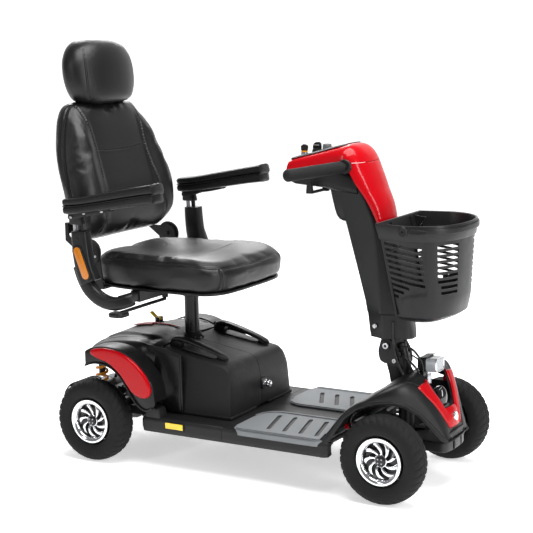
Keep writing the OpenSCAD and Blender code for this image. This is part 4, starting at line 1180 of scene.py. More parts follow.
def battery(hand, side):
    """One battery case with its foot and carry handle."""
    body = "battery_l" if side > 0 else "battery_r"
    profile = rounded([(0.1725, 0.1435), (0.3960, 0.1435), (0.4030, 0.150), (0.3985, 0.246),
                       (0.3850, 0.2875), (0.1725, 0.3240)], [0.003, 0.006, 0.006, 0.03, 0.022, 0.008], 6)
    layers = [(0.0008, 1.0, 0.0), (0.1200, 1.0, 0.0), (0.1480, 0.997, 0.0015), (0.1600, 0.990, 0.005),
              (0.1670, 0.975, 0.0115), (0.1690, 0.955, 0.021)]
    rings = []
    for y, k, drop in layers:
        ring = []
        for x, z in profile:
            high = ramp(z, 0.16, 0.32)
            lean = 0.017 * high * ramp(y, 0.10, 0.169)
            ring.append((0.285 + (x - 0.285) * k, side * (y - lean), z - drop * ramp(z, 0.22, 0.33)))
        rings.append(ring)
    case = loft(f"case_{hand}", rings, angle=30)
    notch = revolve(f"notch_{hand}", [(ON_AXIS, 0.1), (0.033, 0.1), (0.033, 0.4), (ON_AXIS, 0.4)],
                    (POST_X, 0, 0), "z", 48)
    cut(case, [notch])
    coat(case, BATTERY)
    # plinth line round the foot of the case
    foot = coat(bevel(slab(f"foot_{hand}",
                           rounded([(0.1740, 0.1432), (0.4050, 0.1432), (0.4045, 0.1520), (0.1740, 0.1520)],
                                   0.003, 4), *sorted((side * 0.0325, side * 0.1702))), 0.002, 2), BATTERY)
    handle = carry_handle(hand, side)
    place(join(f"battery_case_{hand}_shell", [case, foot, *handle]), body, None,
          [f"battery_case_{hand}"])


def carry_handle(hand, side):
    """Blade that tapers forwards over the finger gap, with a darker sheet under it as painted shade."""
    y = 0.112
    blade_path = smooth_rows([(0.186, 0.334), (0.200, 0.3415), (0.230, 0.3395), (0.290, 0.3240),
                              (0.340, 0.3075), (0.364, 0.2960)], 6)
    n = len(blade_path)
    widths, depths = [], []
    for k in range(n):
        t = k / (n - 1)
        tip = math.sqrt(max(0.0, 1 - max(0.0, (t - 0.86) / 0.14) ** 2)) if t > 0.86 else 1.0
        back = min(1.0, 0.55 + t * 4)
        widths.append(max(0.0015, (0.0155 - 0.0045 * t) * tip * back))
        depths.append(max(0.0012, (0.0070 - 0.0020 * t) * tip * back))
    blade = coat(sweep(f"blade_{hand}",
                       [(x, side * (y + 0.004 * (1 - k / n)), z) for k, (x, z) in enumerate(blade_path)],
                       widths, depths, power=3.0, n=28), SHROUD)
    post = coat(bevel(slab(f"post_{hand}",
                           rounded([(0.180, 0.312), (0.214, 0.306), (0.220, 0.334), (0.184, 0.338)], 0.006),
                           *sorted((side * (y - 0.008), side * (y + 0.014)))), 0.002, 2), SHROUD)
    front = coat(bevel(slab(f"front_{hand}",
                            rounded([(0.330, 0.290), (0.356, 0.285), (0.360, 0.296), (0.332, 0.306)],
                                    0.004), *sorted((side * (y - 0.009), side * (y + 0.009)))), 0.002, 2),
                 SHROUD)
    # a thin darker sheet laid on the roof under the blade: painted shade of the finger gap, not a recess
    scoop_shade = sheet_z(f"scoop_{hand}", rounded([(0.216, side * (y - 0.020)), (0.330, side * (y - 0.014)),
                                            (0.332, side * (y + 0.016)), (0.218, side * (y + 0.022))],
                                           0.010), 0.0, 0.0012)
    slope = -math.degrees(math.atan2(0.3240 - 0.2875, 0.3850 - 0.1725))
    scoop_shade.data.transform(Matrix.Translation((0, 0, 0.3085)))
    turn(scoop_shade, -slope, "Y", (0.272, 0, 0.3090))
    coat(scoop_shade, CONSOLE)
    return [blade, post, front, scoop_shade]


def batteries():
    """Both battery packs and the latch knob between them."""
    battery("left", 1)
    battery("right", -1)
    knob = revolve("latch_knob", [(ON_AXIS, 0.0200), (0.0070, 0.0198), (0.0095, 0.0180), (0.0105, 0.0140),
                                  (0.0090, 0.0110), (0.0080, 0.0040), (0.0120, 0.0020), (0.0125, -0.0040),
                                  (ON_AXIS, -0.0040)], (0.4030, 0.016, 0.205), "x", 40)
    place(knob, "battery_l", CHROME)
    plate = revolve("latch_plate", [(ON_AXIS, 0.0030), (0.0165, 0.0025), (0.0180, 0.0), (0.0180, -0.0040),
                                    (ON_AXIS, -0.0040)], (0.4020, 0.016, 0.205), "x", 40)
    place(plate, "battery_l", SHROUD)
# ------------------------------------------------------------------ front end

NOSE_ROWS = [(0.702, 0.2295, 0.120, 0.147, 9.0), (0.722, 0.2295, 0.140, 0.170, 8.0),
             (0.745, 0.228, 0.176, 0.200, 6.5), (0.770, 0.224, 0.211, 0.231, 6.0),
             (0.800, 0.215, 0.236, 0.254, 5.0), (0.823, 0.205, 0.245, 0.268, 4.2),
             (0.850, 0.192, 0.250, 0.292, 3.8), (0.880, 0.175, 0.249, 0.307, 3.7),
             (0.905, 0.153, 0.240, 0.310, 3.7), (0.930, 0.125, 0.216, 0.290, 3.7),
             (0.955, 0.099, 0.180, 0.243, 3.5), (0.978, 0.077, 0.142, 0.184, 3.4),
             (0.990, 0.068, 0.132, 0.144, 3.2)]
OPENING = [(0.838, 0.050), (0.862, 0.058), (0.900, 0.060), (0.930, 0.055), (0.950, 0.043), (0.966, 0.028),
           (0.972, 0.014)]
RED_OUTER = [(0.922, 0.1140), (0.940, 0.0960), (0.958, 0.0720), (0.970, 0.0550), (0.979, 0.0420),
             (0.9835, 0.0330)]
RED_INNER = [(0.928, 0.0640), (0.944, 0.0560), (0.958, 0.0420), (0.968, 0.0300), (0.974, 0.0180),
             (0.976, 0.0060)]


def nose_height(x, y):
    """Height of the front fender's skin above a point in plan."""
    w, edge, top, power = lookup(NOSE_ROWS, x)
    t = min(1.0, abs(y) / w)
    return edge + (top - edge) * (1 - t ** power) ** (1 / power)


def inside_opening(x, y):
    """Whether a point in plan lies in the opening between the red arms."""
    if x < OPENING[0][0] or x > OPENING[-1][0]:
        return False
    return abs(y) < float(np.interp(x, [p[0] for p in OPENING], [p[1] for p in OPENING]))


def nose_relief(x, y, z):
    """Raised border band along the arch edges and a sunken field inside it."""
    w = lookup(NOSE_ROWS, x)[0]
    side = abs(y)
    band = ramp(side, w - 0.034, w - 0.022)
    field = 0.0045 * (1 - band) * ramp(x, 0.812, 0.835)
    start = ramp(x, 0.79, 0.81)
    ledge = 0.0035 * (1 - ramp(side, w - 0.052, w - 0.044)) * start * (1 - ramp(x, 0.812, 0.835))
    return field + ledge


def nose_shell():
    """Front fender with its vents, rolled lips and side walls."""
    shell = skin("nose_skin", NOSE_ROWS, 121, 0.003, nose_relief,
                 keep=lambda x, y, z: not inside_opening(x, y), x_steps=9, angle=45)
    slots = []
    for i in range(7):
        x = 0.7235 + 0.0118 * i
        y0 = 0.018 + 0.004 * (i % 2)
        for side in (-1, 1):
            low, high = sorted((side * y0, side * (0.118 - 0.004 * i)))
            slots.append(block(f"vent_{i}_{side}", (x, low, 0.1), (x + 0.0044, high, 0.34)))
    for i in range(6):
        for side in (-1, 1):
            slots.append(block(f"dot_{i}_{side}", (0.727 + 0.0128 * i, side * 0.1275 - 0.0018, 0.1),
                               (0.7306 + 0.0128 * i, side * 0.1275 + 0.0018, 0.34)))
    cut(shell, [join("vent_cutters", slots)])
    shell.data.materials.clear()
    coat(shell, FENDER)
    # rolled lip along both arch edges, down to the bumper
    lips = []
    for side in (-1, 1):
        path = []
        for x in np.linspace(0.703, 0.9895, 70):
            w, edge, _, _ = lookup(NOSE_ROWS, float(x))
            path.append((float(x), side * (w - 0.0015), edge + 0.0015))
        lip = coat(sweep(f"nose_lip_{side}", path, [0.0030] * 70, [0.0062] * 70, power=2.6, n=16), FENDER)
        lips.append(lip)
        # low side wall that closes the rear of the arch on the deck
        wall = coat(bevel(slab(f"nose_wall_{side}",
                               rounded([(0.7015, 0.1445), (0.7015, 0.104), (0.709, 0.098), (0.7135, 0.106),
                                        (0.7230, 0.134), (0.7320, 0.152), (0.7220, 0.1665)], 0.003),
                               *sorted((side * 0.2262, side * 0.2302))), 0.001, 2), FENDER)
        lips.append(wall)
    place(join("front_fender_shell", [shell, *lips]), "chassis", None, ["front_fender"])


def band(name, outer, inner, lift, thickness, material):
    """Raised panel on the nose between two plan curves, on both sides."""
    parts = []
    across, along = 14, 44
    for side in (-1, 1):
        top, low = [], []
        for j in range(along + 1):
            u = j / along
            ox, oy = curve_at(outer, u)
            ix, iy = curve_at(inner, u)
            top_row, low_row = [], []
            for i in range(across + 1):
                v = i / across
                x, y = ox + (ix - ox) * v, oy + (iy - oy) * v
                edge = min(v, 1 - v, u * 3, (1 - u) * 3 + 0.3)
                crown = lift + thickness * min(1.0, max(0.0, edge) / 0.16) ** 0.5
                z = nose_height(x, y) - 0.0045
                top_row.append((x + crown * 0.62, side * y, z + crown * 0.78))
                low_row.append((x - 0.002, side * y, z - 0.003))
            top.append(top_row)
            low.append(low_row)
        rings = [a + b[::-1] for a, b in zip(top, low)]
        parts.append(coat(loft(f"{name}_{side}", rings, angle=60), material))
    return parts


def curve_at(points, u):
    """Point a fraction u along a plan curve."""
    s = [0.0]
    for a, b in zip(points, points[1:]):
        s.append(s[-1] + math.dist(a, b))
    return (float(np.interp(u * s[-1], s, [p[0] for p in points])),
            float(np.interp(u * s[-1], s, [p[1] for p in points])))


def red_v():
    """Red arms of the nose and the panel that joins them."""
    arms = band("red_arm", RED_OUTER, RED_INNER, 0.0015, 0.0050, RED)
    # bright inner faces of the two arms, down into the opening
    for side in (-1, 1):
        rings = []
        for j in range(31):
            x, y = curve_at([(0.926, 0.0645), (0.944, 0.0560), (0.958, 0.0420), (0.968, 0.0300)], j / 30)
            z = nose_height(x, y)
            depth = 0.030 - 0.012 * j / 30
            rings.append([(x, side * y, z + 0.002), (x + 0.001, side * (y + 0.003), z),
                          (x - 0.004, side * (y + 0.003), z - depth),
                          (x - 0.005, side * (y - 0.001), z - depth)])
        arms.append(coat(loft(f"red_wall_{side}", rings, angle=40), RED))
    # lower panel that joins the arms
    rings = []
    for k, (x, z, half) in enumerate([(0.9735, 0.2130, 0.0270), (0.9765, 0.2080, 0.0330),
                                      (0.9800, 0.1970, 0.0380), (0.9835, 0.1840, 0.0385),
                                      (0.9860, 0.1720, 0.0365), (0.9870, 0.1640, 0.0330),
                                      (0.9862, 0.1600, 0.0290)]):
        ring = []
        for i in range(25):
            v = -1 + i / 12
            ring.append((x - 0.0050 * v * v + (0.0 if k not in (0, 6) else -0.0020), half * v,
                         z - 0.0012 * v * v))
        rings.append(ring)
    front = loft("red_panel", rings, caps=False, closed=False, angle=60)
    solidify(front, 0.004, -1 if sum(f.normal.x * f.area for f in front.data.polygons) > 0 else 1)
    coat(front, RED)
    place(join("nose_red_trim", [*arms, front]), "chassis", None, ["front_trim"])
    badge = revolve("nose_disc", [(ON_AXIS, 0.0040), (0.0075, 0.0038), (0.0085, 0.0030), (0.0100, 0.0034),
                                  (0.0118, 0.0030), (0.0124, 0.0012), (0.0124, -0.0040),
                                  (ON_AXIS, -0.0040)], (0, 0, 0), "x", 48)
    badge.data.transform(Matrix.Translation((-AXLE, 0, 0)))
    badge.data.transform(Matrix.Rotation(math.radians(-12), 4, "Y"))
    badge.data.transform(Matrix.Translation((0.9835 + AXLE, 0, 0.187)))
    place(badge, "chassis", CHROME)
    strip = sweep("nose_strip", [(0.9845 + 0.0045 * (1 - (y / 0.052) ** 2), y,
                                  0.1520 - 0.004 * abs(y) / 0.05) for y in np.linspace(-0.052, 0.052, 21)],
                  0.0050, 0.0028, side=(0, 0, 1), power=4, n=16)
    place(strip, "chassis", CONSOLE)


def nose_recess():
    """Dark well behind the V, with a grey floor and a glossy dome."""
    rings = []
    for z, k in ((0.262, 1.0), (0.235, 0.97), (0.218, 0.90), (0.212, 0.80)):
        ring = []
        plan = OPENING + [(x, -y) for x, y in reversed(OPENING)]
        for x, y in rounded(plan, 0.008, 3):
            ring.append((0.905 + (x - 0.905) * k, y * k, min(z, nose_height(min(x, 0.985), y) - 0.004)))
        rings.append(ring)
    well = loft("nose_well", rings, caps=False, angle=50)
    solidify(well, 0.0016, 1)
    coat(well, CONSOLE)
    floor = coat(sheet_z("nose_floor", rounded([(0.850, 0.046), (0.905, 0.050), (0.950, 0.034),
                                                (0.962, 0.012), (0.962, -0.012), (0.950, -0.034),
                                                (0.905, -0.050), (0.850, -0.046)], 0.008), 0.2090, 0.2125),
                 KNOB)
    dome_rows = [(ON_AXIS, 0.052)]
    for a in range(8, 92, 7):
        t = math.radians(a)
        dome_rows.append((0.0265 * math.sin(t), 0.052 * math.cos(t) if a < 90 else 0.0))
    dome_rows += [(0.0275, -0.004), (ON_AXIS, -0.004)]
    dome = revolve("nose_dome", dome_rows, (0.931, 0, 0.2125), "z", 56, 60)
    turn(dome, 14, "Y", (0.931, 0, 0.2125))
    coat(dome, DOME)
    place(join("nose_recess", [well, floor, dome]), "chassis", None)


def bumper():
    """Front bumper with its two oval holes."""
    outline = []
    for a in np.linspace(-90, 90, 15):
        t = math.radians(float(a))
        outline.append((0.9640 + 0.0265 * math.cos(t) ** 0.5 if abs(a) < 89.9 else 0.9640,
                        0.0700 * math.sin(t)))
    outline += [(0.905, 0.0655), (0.905, -0.0655)]
    body = sheet_z("bumper_body", outline, 0.1035, 0.1310)
    holes = []
    for y in (-0.024, 0.024):
        hole = []
        for k in range(32):
            t = 2 * math.pi * k / 32
            hole.append((y + 0.0058 * math.cos(t), 0.1172 + 0.0088 * math.sin(t)))
        holes.append(loft(f"bumper_hole_{y}", [[(x, hy, hz) for hy, hz in hole] for x in (0.974, 1.02)]))
    cut(body, [join("bumper_holes", holes)])
    bevel(body, 0.0030, 4, 30)
    place(body, "chassis", BUMPER, ["front_bumper"])
    lining = []
    for y in (-0.024, 0.024):
        lining.append(revolve(f"bumper_screw_{y}",
                              [(ON_AXIS, 0.001), (0.0036, 0.0008), (0.0042, -0.001), (ON_AXIS, -0.001)],
                              (0.9750, y, 0.1165), "x", 24))
    place(join("bumper_screws", lining), "chassis", STEEL)


def headlight():
    """Rectangular lamp with a black hood and a faceted clear face, looking forwards."""
    hood = []
    for x, dy, z0, z1 in ((0.884, 0.0175, 0.306, 0.332), (0.890, 0.0240, 0.302, 0.3365),
                          (0.902, 0.0275, 0.3000, 0.3395), (0.910, 0.0275, 0.3000, 0.3395),
                          (0.911, 0.0268, 0.3006, 0.3388)):
        mid, half = (z0 + z1) / 2, (z1 - z0) / 2
        hood.append([(x, a, mid + b) for a, b in superellipse(dy, half, 6, 40)])
    body = coat(loft("lamp_hood", hood, angle=40), CONSOLE)
    glass_rows = [(x, [(a * k, 0.3195 + b * k) for a, b in superellipse(0.0262, 0.0183, 6, 40)])
                  for x, k in ((0.9105, 1.0), (0.9370, 1.0), (0.9388, 0.985))]
    glass = coat(loft("lamp_glass", [[(x, a, b) for a, b in row] for x, row in glass_rows], angle=40), LENS)
    bezel = []
    for x, k in ((0.9385, 1.0), (0.9410, 0.98), (0.9412, 0.93), (0.9380, 0.90)):
        bezel.append([(x, a * k, 0.3195 + b * k) for a, b in superellipse(0.0262, 0.0183, 6, 40)])
    rim = coat(loft("lamp_bezel", bezel, caps=False, angle=40), CHROME)
    lens_verts, lens_faces = [], []
    nx, nz = 9, 6
    for j in range(nz * 2 + 1):
        for i in range(nx * 2 + 1):
            y = -0.0238 + 0.0476 * i / (nx * 2)
            z = 0.3195 - 0.0160 + 0.0320 * j / (nz * 2)
            peak = 0.0016 if i % 2 and j % 2 else 0.0
            lens_verts.append((0.9392 + peak, y, z))
    stride = nx * 2 + 1
    for j in range(nz * 2):
        for i in range(nx * 2):
            lens_faces.append((j * stride + i, j * stride + i + 1, (j + 1) * stride + i + 1,
                               (j + 1) * stride + i))
    lens = mesh_object("lamp_lens_face", lens_verts, lens_faces, 5)
    coat(lens, LENS)
    roof = coat(bevel(slab("lamp_roof",
                           [(0.893, 0.3370), (0.916, 0.3395), (0.916, 0.3412), (0.893, 0.3392)], -0.0268,
                           0.0268), 0.0007, 2), CONSOLE)
    neck = coat(revolve("lamp_neck", [(ON_AXIS, -0.036), (0.0115, -0.035), (0.0115, -0.018),
                                      (0.0085, -0.016), (0.0085, 0.001), (ON_AXIS, 0.002)],
                        (0.904, 0, 0.3015), "z", 32), STEEL)
    nut = coat(revolve("lamp_nut", [(ON_AXIS, -0.0005), (0.0125, -0.001), (0.0135, -0.004),
                                    (0.0135, -0.009), (ON_AXIS, -0.010)], (0.904, 0, 0.2920), "z", 6),
               STEEL)
    place(join("headlight_unit", [body, glass, rim, lens, roof, neck, nut]), "stem", None,
          ["headlight"])


def bolt_y(name, x, y, z, out, r=0.0075, material=None):
    """Socket-head bolt whose head looks along Y."""
    head = revolve(name, [(ON_AXIS, out * 0.0012), (r * 0.42, out * 0.0012), (r * 0.46, out * 0.0052),
                          (r * 0.86, out * 0.0054), (r, out * 0.0042), (r, 0.0), (ON_AXIS, 0.0)], (x, y, z),
                   "y", 36)
    head.data.materials.append(material or STEEL)
    return head


def stem():
    """Steering stem: lower casting with ears, a tube leaning forward in front and its bolts."""
    casting = []
    for z, x, hx, hy, p in ((0.262, 0.8235, 0.022, 0.022, 2.4), (0.285, 0.8240, 0.0245, 0.0260, 2.8),
                            (0.305, 0.8235, 0.0270, 0.0310, 3.4), (0.325, 0.8215, 0.0275, 0.0335, 4.0),
                            (0.338, 0.8190, 0.0260, 0.0335, 4.0)):
        casting.append([(x + a, b, z) for a, b in superellipse(hx, hy, p, 44)])
    foot = coat(loft("stem_casting", casting, angle=40), COLUMN)
    ears = []
    for side in (-1, 1):
        outline = rounded([(0.786, 0.320), (0.847, 0.306), (0.844, 0.342), (0.826, 0.372), (0.808, 0.386),
                           (0.790, 0.378), (0.780, 0.350)], 0.012, 6)
        ears.append(coat(bevel(slab(f"stem_ear_{side}", outline, *sorted((side * 0.0285, side * 0.0400))),
                               0.0022, 3), COLUMN))
        ears.append(bolt_y(f"stem_bolt_{side}", 0.8040, side * 0.0400, 0.3640, side, 0.0088))
        ears.append(bolt_y(f"stem_bolt_low_{side}", 0.8290, side * 0.0400, 0.3260, side, 0.0060))
    rings = [(ON_AXIS, 0.0), (0.0150, 0.0), (0.0165, 0.002), (0.0165, 0.016), (0.0142, 0.018),
             (0.0142, 0.098), (0.0125, 0.100), (ON_AXIS, 0.100)]
    lean = revolve("stem_tube", rings, (0.8520, 0.0, 0.270), "z", 40)
    turn(lean, -14, "Y", (0.852, 0, 0.270))
    coat(lean, MOTOR)
    place(join("steering_stem_casting", [foot, *ears, lean]), "stem", None, ["steering_stem"])


def front_cables():
    """Short cables held round the steering head."""
    paths = [
        [(0.840, -0.034, 0.352), (0.858, -0.046, 0.368), (0.884, -0.050, 0.364), (0.900, -0.040, 0.340),
         (0.905, -0.030, 0.312), (0.900, -0.024, 0.288), (0.888, -0.020, 0.262)],
        [(0.838, -0.030, 0.334), (0.856, -0.046, 0.342), (0.878, -0.052, 0.332), (0.896, -0.044, 0.308),
         (0.898, -0.034, 0.284), (0.892, -0.026, 0.258)],
        [(0.904, 0.010, 0.286), (0.890, 0.030, 0.292), (0.872, 0.036, 0.310), (0.852, 0.034, 0.324),
         (0.838, 0.030, 0.330)],
        [(0.846, -0.012, 0.330), (0.866, -0.030, 0.318), (0.880, -0.034, 0.300), (0.886, -0.030, 0.276),
         (0.884, -0.022, 0.256)]
    ]
    loops = []
    for i, path in enumerate(paths):
        loops.append(coat(tube(f"nose_cable_{i}", path, 0.0030 if i < 2 else 0.0022, 14, 8), CABLE))
    place(join("nose_cables", loops), "stem", None)


def under_arch():
    """Steering link, ends, hoses and connectors that show below the front arch on each side."""
    bits = []
    for side in (-1, 1):
        strut = coat(tube(f"link_{side}", [(0.760, side * 0.120, 0.150), (0.838, side * 0.150, 0.156),
                                           (0.872, side * 0.168, 0.150)], 0.0062, 16, 4), STEEL)
        ball = coat(revolve(f"ball_{side}",
                            [(ON_AXIS, 0.011), (0.006, 0.0105), (0.0095, 0.007), (0.0105, 0.0),
                             (0.0095, -0.007), (0.006, -0.0105), (ON_AXIS, -0.011)],
                            (0.846, side * 0.152, 0.157), "z", 24, 60), CHROME)
        hose = coat(tube(f"hose_{side}", [(0.742, side * 0.100, 0.190), (0.756, side * 0.160, 0.186),
                                          (0.774, side * 0.182, 0.170), (0.790, side * 0.172, 0.150)],
                         0.0042, 12, 8), CABLE)
        red_bit = coat(bevel(slab(f"fuse_{side}",
                                  [(0.744, 0.164), (0.760, 0.164), (0.760, 0.178), (0.744, 0.178)],
                                  *sorted((side * 0.150, side * 0.164))), 0.0015, 2), RED)
        bits += [strut, ball, hose, red_bit]
        for i in range(2):
            bits.append(coat(revolve(f"plug_{side}_{i}",
                                     [(ON_AXIS, 0.0), (0.0040, 0.0), (0.0044, 0.002), (0.0044, 0.010),
                                      (0.0036, 0.012), (0.0036, 0.020), (ON_AXIS, 0.020)],
                                     (0.766 + 0.014 * i, side * 0.170, 0.140), "z", 20), ORANGE))
    place(join("arch_fittings", bits), "chassis", None)


def front_end():
    """Nose, bumper, headlight and what shows under the arch."""
    nose_shell()
    red_v()
    nose_recess()
    bumper()
    headlight()
    stem()
    front_cables()
    under_arch()


# ------------------------------------------------------------------ tiller

COLUMN_ROWS = [(0.383, 0.7520, 0.800, 0.868, 0.0455), (0.400, 0.7485, 0.799, 0.867, 0.0465),
               (0.446, 0.7430, 0.797, 0.862, 0.0470), (0.450, 0.7410, 0.796, 0.864, 0.0520),
               (0.480, 0.7355, 0.794, 0.857, 0.0525), (0.550, 0.7170, 0.788, 0.838, 0.0530),
               (0.620, 0.6980, 0.782, 0.823, 0.0530), (0.666, 0.6855, 0.776, 0.811, 0.0525),
               (0.700, 0.6755, 0.768, 0.800, 0.0520), (0.740, 0.6640, 0.751, 0.786, 0.0515),
               (0.780, 0.6540, 0.728, 0.763, 0.0510), (0.805, 0.6480, 0.705, 0.742, 0.0500)]


def column_cover():
    """Black column: a flat rear flank, a ridge, then a lighter front flank, with a step near its foot."""
    rings = []
    for z, rear, ridge, front, w in COLUMN_ROWS:
        half = [(rear, 0.018), (rear + 0.005, 0.030), (ridge - 0.006, w - 0.0008), (ridge, w),
                (ridge + 0.004, w - 0.0012), (front - 0.018, w - 0.0150), (front - 0.006, w - 0.021),
                (front, w - 0.032)]
        ring = half + [(x, -y) for x, y in reversed(half)]
        rings.append([(x, y, z) for x, y in ring])
    shell = coat(loft("column_shell", rings, angle=18), COLUMN)
    pod_rows = [(0.6835, 0.6640, 0.6980, 0.0140), (0.6890, 0.6560, 0.6990, 0.0200),
                (0.6990, 0.6500, 0.6990, 0.0245), (0.7150, 0.6455, 0.6960, 0.0270),
                (0.7400, 0.6395, 0.6900, 0.0285), (0.7690, 0.6330, 0.6830, 0.0290),
                (0.7860, 0.6310, 0.6790, 0.0290)]
    pod = coat(loft("column_pod", [[((a + b) / 2 + x, y, z)
                                    for x, y in superellipse((b - a) / 2, w, 3.6, 40)]
                                   for z, a, b, w in pod_rows], angle=40), COLUMN)
    screw = coat(revolve("pod_screw", [(ON_AXIS, -0.0016), (0.0032, -0.0014), (0.0040, 0.0),
                                       (ON_AXIS, 0.0010)], (0.6780, -0.010, 0.6828), "z", 20), STEEL)
    tray_rows = [(0.5275, 0.046, 0.7880, 0.8150), (0.5320, 0.052, 0.7830, 0.8180),
                 (0.5450, 0.057, 0.7785, 0.8190), (0.6000, 0.0655, 0.7745, 0.8240),
                 (0.6400, 0.0690, 0.7720, 0.8290), (0.6800, 0.0700, 0.7640, 0.8300),
                 (0.7100, 0.0660, 0.7600, 0.8200), (0.7300, 0.0560, 0.7560, 0.8080)]
    tray = coat(loft("head_tray", [[(x, a, (low + high) / 2 + b)
                                    for a, b in superellipse(w, (high - low) / 2, 4.5, 48)]
                                   for x, w, low, high in tray_rows], angle=40), CONSOLE)
    # boss with its hollow on each flank, under the handlebar
    bosses = []
    for side in (-1, 1):
        path = [(0.6920 + 0.0125 * math.cos(math.radians(a)), side * 0.0475,
                 0.7800 + 0.0150 * math.sin(math.radians(a))) for a in range(180, 361, 15)]
        ridge = coat(tube(f"flank_hollow_{side}", path, 0.0016, 8, 2), COLUMN)
        bosses.append(ridge)
        bosses.append(coat(revolve(f"foot_bolt_{side}",
                                   [(ON_AXIS, side * 0.0035), (0.0050, side * 0.0034),
                                    (0.0060, side * 0.0020), (0.0060, side * -0.003),
                                    (ON_AXIS, side * -0.003)], (0.775, side * 0.0455, 0.415), "y", 24),
                           STEEL))
    place(join("tiller_column_cover", [shell, pod, screw, tray, *bosses]), "tiller", None,
          ["tiller_cover"])


COWL_ROWS = [
    (0.5290, 0.8400, 0.5235, 0.8220, 0.048, 3.4), (0.5300, 0.8440, 0.5235, 0.8180, 0.055, 3.6),
    (0.5340, 0.8470, 0.5270, 0.8165, 0.060, 3.8), (0.5600, 0.8545, 0.5560, 0.8185, 0.066, 4.0),
    (0.6000, 0.8640, 0.6000, 0.8225, 0.072, 4.0), (0.6400, 0.8745, 0.6450, 0.8270, 0.077, 3.8),
    (0.6750, 0.8840, 0.6880, 0.8310, 0.080, 3.4), (0.6980, 0.8885, 0.7100, 0.8320, 0.081, 3.1),
    (0.7160, 0.8855, 0.7190, 0.8210, 0.0805, 2.9), (0.7300, 0.8760, 0.7265, 0.8080, 0.079, 2.8),
    (0.7410, 0.8620, 0.7345, 0.7930, 0.077, 2.7), (0.7515, 0.8400, 0.7435, 0.7780, 0.074, 2.6),
    (0.7640, 0.8110, 0.7530, 0.7630, 0.070, 2.6), (0.7770, 0.7780, 0.7625, 0.7460, 0.066, 2.6),
    (0.7880, 0.7550, 0.7700, 0.7310, 0.063, 2.6), (0.7970, 0.7330, 0.7765, 0.7160, 0.060, 2.6),
    (0.8030, 0.7080, 0.7830, 0.7000, 0.057, 2.6), (0.8060, 0.6860, 0.7880, 0.6840, 0.054, 2.6)
]


def cowl():
    """Glossy head that runs into the fairing down the column's front, as one bent shell."""
    rows = smooth_rows(COWL_ROWS, 6)
    across = 57
    rings = []
    for px, pz, qx, qz, w, power in rows:
        ring = []
        for i in range(across):
            a = math.pi * i / (across - 1)
            c, s = math.cos(a), abs(math.sin(a))
            rise = s ** (2 / power)
            ring.append((qx + (px - qx) * rise, w * math.copysign(abs(c) ** (2 / power), c),
                         qz + (pz - qz) * rise))
        rings.append(ring)
    shell = loft("cowl_shell", rings, caps=False, closed=False, angle=60)
    middle = shell.data.vertices[len(rows) // 2 * across + across // 2]
    solidify(shell, 0.0026, -1 if middle.normal.z > 0 or middle.normal.x > 0 else 1)
    end = loft("cowl_tip", [rings[0], [(x + 0.003, y * 0.98, z) for x, y, z in rings[0]]], angle=60)
    seam = block("cowl_seam", (0.700, -0.1, 0.8424), (0.80, 0.1, 0.8438))
    cut(shell, [seam])
    shade(shell.data, 60)
    shell.data.materials.clear()
    coat(shell, RED)
    coat(end, RED)
    place(join("tiller_cowl_shell", [shell, end]), "tiller", None, ["tiller_cowl"])
    bpy.data.objects["tiller_cowl_shell"].data.set_sharp_from_angle(angle=math.radians(70))


def console():
    """Control panel along the head's top, with a paler bead round it."""
    rows = smooth_rows([(0.5330, 0.8475, 0.046), (0.5400, 0.8500, 0.0505), (0.5600, 0.8550, 0.0525),
                        (0.6000, 0.8642, 0.0550), (0.6400, 0.8747, 0.0560), (0.6700, 0.8828, 0.0540),
                        (0.6880, 0.8868, 0.0480), (0.6940, 0.8880, 0.0420)], 5)
    panel = coat(loft("console_face", [[(x, a, z - 0.0004 + b) for a, b in superellipse(w, 0.0026, 3, 40)]
                                       for x, z, w in rows], angle=50), CONSOLE)
    bead = coat(loft("console_bead", [[(x, a, z - 0.0014 + b)
                                       for a, b in superellipse(w + 0.0022, 0.0020, 3, 40)]
                                      for x, z, w in rows], angle=50), KNOB)
    marks = []
    for k, (x, y, z) in enumerate(((0.575, 0.032, 0.8610), (0.600, 0.032, 0.8670), (0.625, 0.032, 0.8732),
                                   (0.650, -0.030, 0.8795))):
        lamp_mark = revolve(f"telltale_{k}",
                            [(ON_AXIS, 0.0012), (0.0028, 0.0010), (0.0034, 0.0), (0.0034, -0.003),
                             (ON_AXIS, -0.003)], (x, y, z), "z", 20)
        lamp_mark.data.materials.append(AMBER if k % 2 else LENS)
        marks.append(lamp_mark)
    place(join("console_top", [bead, panel, *marks]), "tiller", None, ["console_panel"])


def ribbed_knob(name, centre, r0, r1, height, ribs, material):
    """Knob with fluted sides and a dished top."""
    x, y, z = centre
    rings = []
    n = ribs * 8
    for r, h, flute in ((r0 * 0.98, 0.0, 0), (r0, 0.001, 0), (r0 * 0.99, 0.003, 1), (r1, height - 0.002, 1),
                        (r1 - 0.0010, height - 0.0004, 0.4), (r1 - 0.0025, height, 0),
                        (r1 * 0.5, height - 0.0012, 0), (ON_AXIS, height - 0.0015, 0)):
        ring = []
        for i in range(n):
            a = 2 * math.pi * i / n
            d = r - flute * 0.0008 * max(0.0, math.cos(a * ribs))
            ring.append((x + d * math.cos(a), y + d * math.sin(a), z + h))
        rings.append(ring)
    obj = coat(loft(name, rings, angle=35), material)
    return obj


